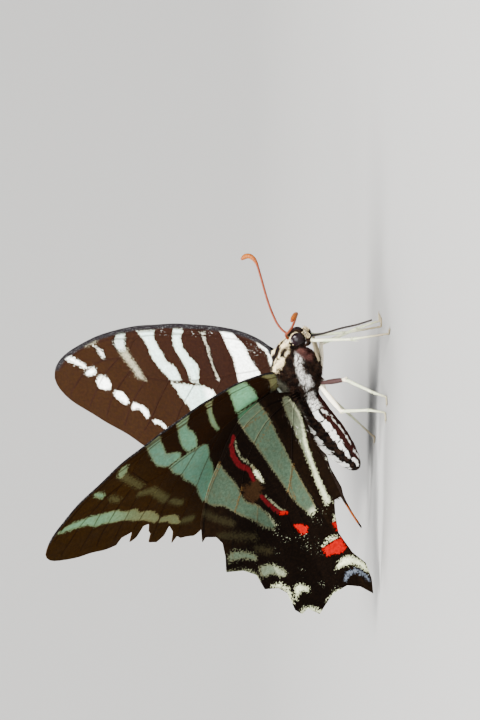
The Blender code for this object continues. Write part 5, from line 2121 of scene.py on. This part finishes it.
@dataclass
class WingHair:
    """Hair on the roots of the wings and along the inner edge of the hind wings."""

    wings: list[Wing]
    hair: Tuft = Tuft(0.9, 0.03, 0.10, 0.5, 0.6, 0.25)
    fore_hairs: int = 1500
    hind_hairs: int = 2600

    def build(self, material: Material) -> None:
        """Grow the hair of each wing as one piece.

        Args:
            material: the material of tufts.
        """
        rng = np.random.default_rng(SEED + 2)
        for wing in self.wings:
            count = self.fore_hairs if wing.fore else self.hind_hairs
            span = rng.beta(1.0, 2.2, count) * 5.0
            forward = rng.uniform(-7.0, 3.2, count) if wing.fore else rng.uniform(-17.0, 2.4, count)
            if not wing.fore:
                # Part of the hair fringes the inner edge
                inner = rng.random(count) < 0.6
                edge = np.interp(forward, [-17, -11, -6, 0, 3], [1.9, 0.95, 0.75, 0.2, 0.2])
                span = np.where(inner, edge + rng.exponential(0.35, count), span)
            flat = np.c_[span, forward]
            keep = Patch(wing.outline).depth(flat) > 0.02
            flat = flat[keep]
            top = rng.random(len(flat)) < 0.5
            z = wing.camber(*flat.T) + np.where(top, 1.0, -1.0) * wing.thickness * 0.5
            side = wing.side.value
            roots = np.c_[flat[:, 1], side * flat[:, 0], z]
            normals = np.tile((0.0, 0.0, 1.0), (len(roots), 1)) * np.where(top, 1.0, -1.0)[:, None]
            lay = np.tile((-0.9, side * 0.55, 0.0), (len(roots), 1))
            if not wing.fore:
                fringe = (flat[:, 0] < 2.2)[:, None]
                lay = np.where(fringe, np.array((-0.8, -side * 0.5, 0.0)), lay)
            size = 1.0 - 0.5 * ease(flat[:, 0], 1.0, 4.0)
            grown = grow(roots, normals, lay, self.hair, size, rng)
            pattern = wing.values(flat, top)
            pale = np.clip(pattern["pale"], -1.0, 1.0) + rng.normal(0.0, 0.12, len(flat))
            near = (flat[:, 0] < 3.2) & (flat[:, 1] > -2.5)
            none = np.full(len(flat), -1.0)
            values = {"cream": none, "white": none, "grey": np.where(near, -1.0, pale),
                      "olive": np.where(near, pale, -1.0), "pink": none, "maroon": none}
            unwrap = np.clip(np.c_[flat[:, 0] / WING_PLANE, (flat[:, 1] + 32.0) / 40.0], 0.0, 1.0)
            coat_piece(wing.name + "_hair", grown, values, unwrap, wing.placement(), material,
                       wing.slot, rng)


@dataclass
class Studio:
    """Pale floor that sweeps up behind, soft lights, and the camera of the photograph."""

    target: Point = (*CENTRE_SHIFT, HINGE_HEIGHT)
    toward: Point = (0.5654, -0.8229, 0.0561)
    right: Point = (0.0249, -0.0510, -0.9984)
    up: Point = (0.8244, 0.5659, -0.0085)
    distance: float = 450.0
    lens: float = 158.85
    shift: tuple[float, float] = (-0.0533, 0.0171)
    floor_colour: Colour = (0.215, 0.213, 0.207)

    def camera(self) -> None:
        """Stand the camera where the photograph was taken from."""
        data = bpy.data.cameras.new("camera")
        data.lens = self.lens
        data.sensor_width = 36.0
        data.shift_x, data.shift_y = self.shift
        data.clip_start, data.clip_end = 0.01, 20.0
        data.dof.use_dof = False
        camera = link("camera", data)
        back = Vector(self.toward).normalized()
        turn = Matrix((self.right, self.up, back)).transposed().to_4x4()
        camera.matrix_world = Matrix.Translation((Vector(self.target) + back * self.distance) * MM) @ turn
        bpy.context.scene.camera = camera

    def floor(self) -> None:
        """A sweep: flat under the insect, then curved up far behind it."""
        profile = [(-2.6, 0.0), (0.35, 0.0)]
        profile += [(0.35 + 0.9 * sin(a), 0.9 - 0.9 * cos(a)) for a in np.linspace(0.05, pi / 2, 24)]
        profile += [(1.25, 3.2)]
        bm = bmesh.new()
        made = bmesh.ops.create_grid(bm, x_segments=len(profile) - 1, y_segments=1, size=0.5)["verts"]
        behind = Vector((-self.toward[0], -self.toward[1], 0.0)).normalized()
        across = Vector((behind.y, -behind.x, 0.0))
        for vert in made:
            reach, height = profile[round((vert.co.x + 0.5) * (len(profile) - 1))]
            vert.co = behind * reach + across * (vert.co.y * 6.0) + Vector((0.0, 0.0, height))
        mesh = raw_mesh("floor", bm)
        mesh.shade_smooth()
        material, graph, shader = start_material("floor_paper")
        noise = graph.noise(graph.add("TexCoord").outputs["Object"], 30.0, 3.0)
        low = tuple(c * 0.985 for c in self.floor_colour)
        set_shader(graph, shader, graph.mix(noise, low, self.floor_colour), 0.9)
        mesh.materials.append(material)
        link("floor", mesh)

    def light(self, name: str, place: Point, size: float, power: float, colour: Colour) -> None:
        """Add a soft square light that points at the insect.

        Args:
            name: its name.
            place: where it stands, in metres.
            size: its side in metres.
            power: its power in watts.
            colour: its colour.
        """
        data = bpy.data.lights.new(name, "AREA")
        data.size = size
        data.energy = power
        data.color = colour
        lamp = link(name, data)
        lamp.location = place
        aim = Vector(self.target) * MM - Vector(place)
        lamp.rotation_euler = aim.to_track_quat("-Z", "Y").to_euler()

    def build(self) -> None:
        """Set everything up."""
        self.camera()
        self.floor()
        self.light("key", (0.70, -0.70, 0.80), size=0.45, power=96.0, colour=(1.0, 0.98, 0.95))
        self.light("fill", (0.1, -1.2, 0.35), size=0.9, power=36.0, colour=(0.94, 0.97, 1.0))
        self.light("back", (-0.75, -0.10, 1.25), size=0.8, power=62.0, colour=(1.0, 0.99, 0.97))
        world = bpy.data.worlds.new("studio")
        world.use_nodes = True
        world.node_tree.nodes["Background"].inputs[0].default_value = (0.90, 0.93, 1.0, 1.0)
        world.node_tree.nodes["Background"].inputs[1].default_value = 0.6
        bpy.context.scene.world = world


def main() -> None:
    """Build and dress the insect, then the studio."""
    logging.basicConfig(level=logging.INFO, format="%(name)s %(message)s")
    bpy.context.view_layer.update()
    ragged, grain = ragged_group(), grain_group()
    fur = BodyFinish()
    skin = Skin().build(fur.material("body_skin", ragged, False))
    tuft_material = fur.material("body_tufts", ragged, True)
    Coat(skin, tuft_material).build()
    tongue = ShellFinish((0.0045, 0.0028, 0.0025), (0.012, 0.006, 0.004), roughness=0.45, scale=3.0,
                         coat=0.1)
    FaceParts().build(EyeFinish().material("eye_glass"), tuft_material, tongue.material("tongue_shell"))
    wings = make_wings(ragged, grain)
    WingHair(wings).build(tuft_material)
    feeler = FeelerFinish().material("feeler_shell")
    Feeler("antenna_left", [
        (5.0, 0.55, -3.2), (5.5, 1.2, -2.55), (6.2, 2.0, -2.1), (7.1, 2.65, -1.9), (8.5, 3.25, -1.8),
        (10.1, 4.05, -1.8), (12.5, 5.3, -1.9), (14.2, 6.3, -1.9), (15.0, 6.9, -1.5),
        (15.2, 7.3, -0.8), (14.7, 7.7, 0.1)]).build(feeler)
    Feeler("antenna_right", [
        (4.95, -0.5, -3.1), (5.92, -0.86, -3.08), (6.99, -1.97, -3.79), (8.46, -3.39, -4.67),
        (10.06, -4.72, -5.5), (11.64, -5.98, -6.2), (12.55, -6.77, -6.54), (13.17, -7.82, -6.54),
        (13.48, -8.87, -6.29), (13.56, -9.71, -5.97)]).build(feeler)
    scales = LegFinish().material("leg_scales", ragged)
    rng = np.random.default_rng(SEED + 3)
    for name, points in LEGS.items():
        fore = "fore" in name
        Leg(name, points, thigh=0.22 if fore else 0.34, maroon=name == "leg_mid_right",
            dull=fore).build(scales, rng)
    Studio().build()


if __name__ == "__main__":
    main()
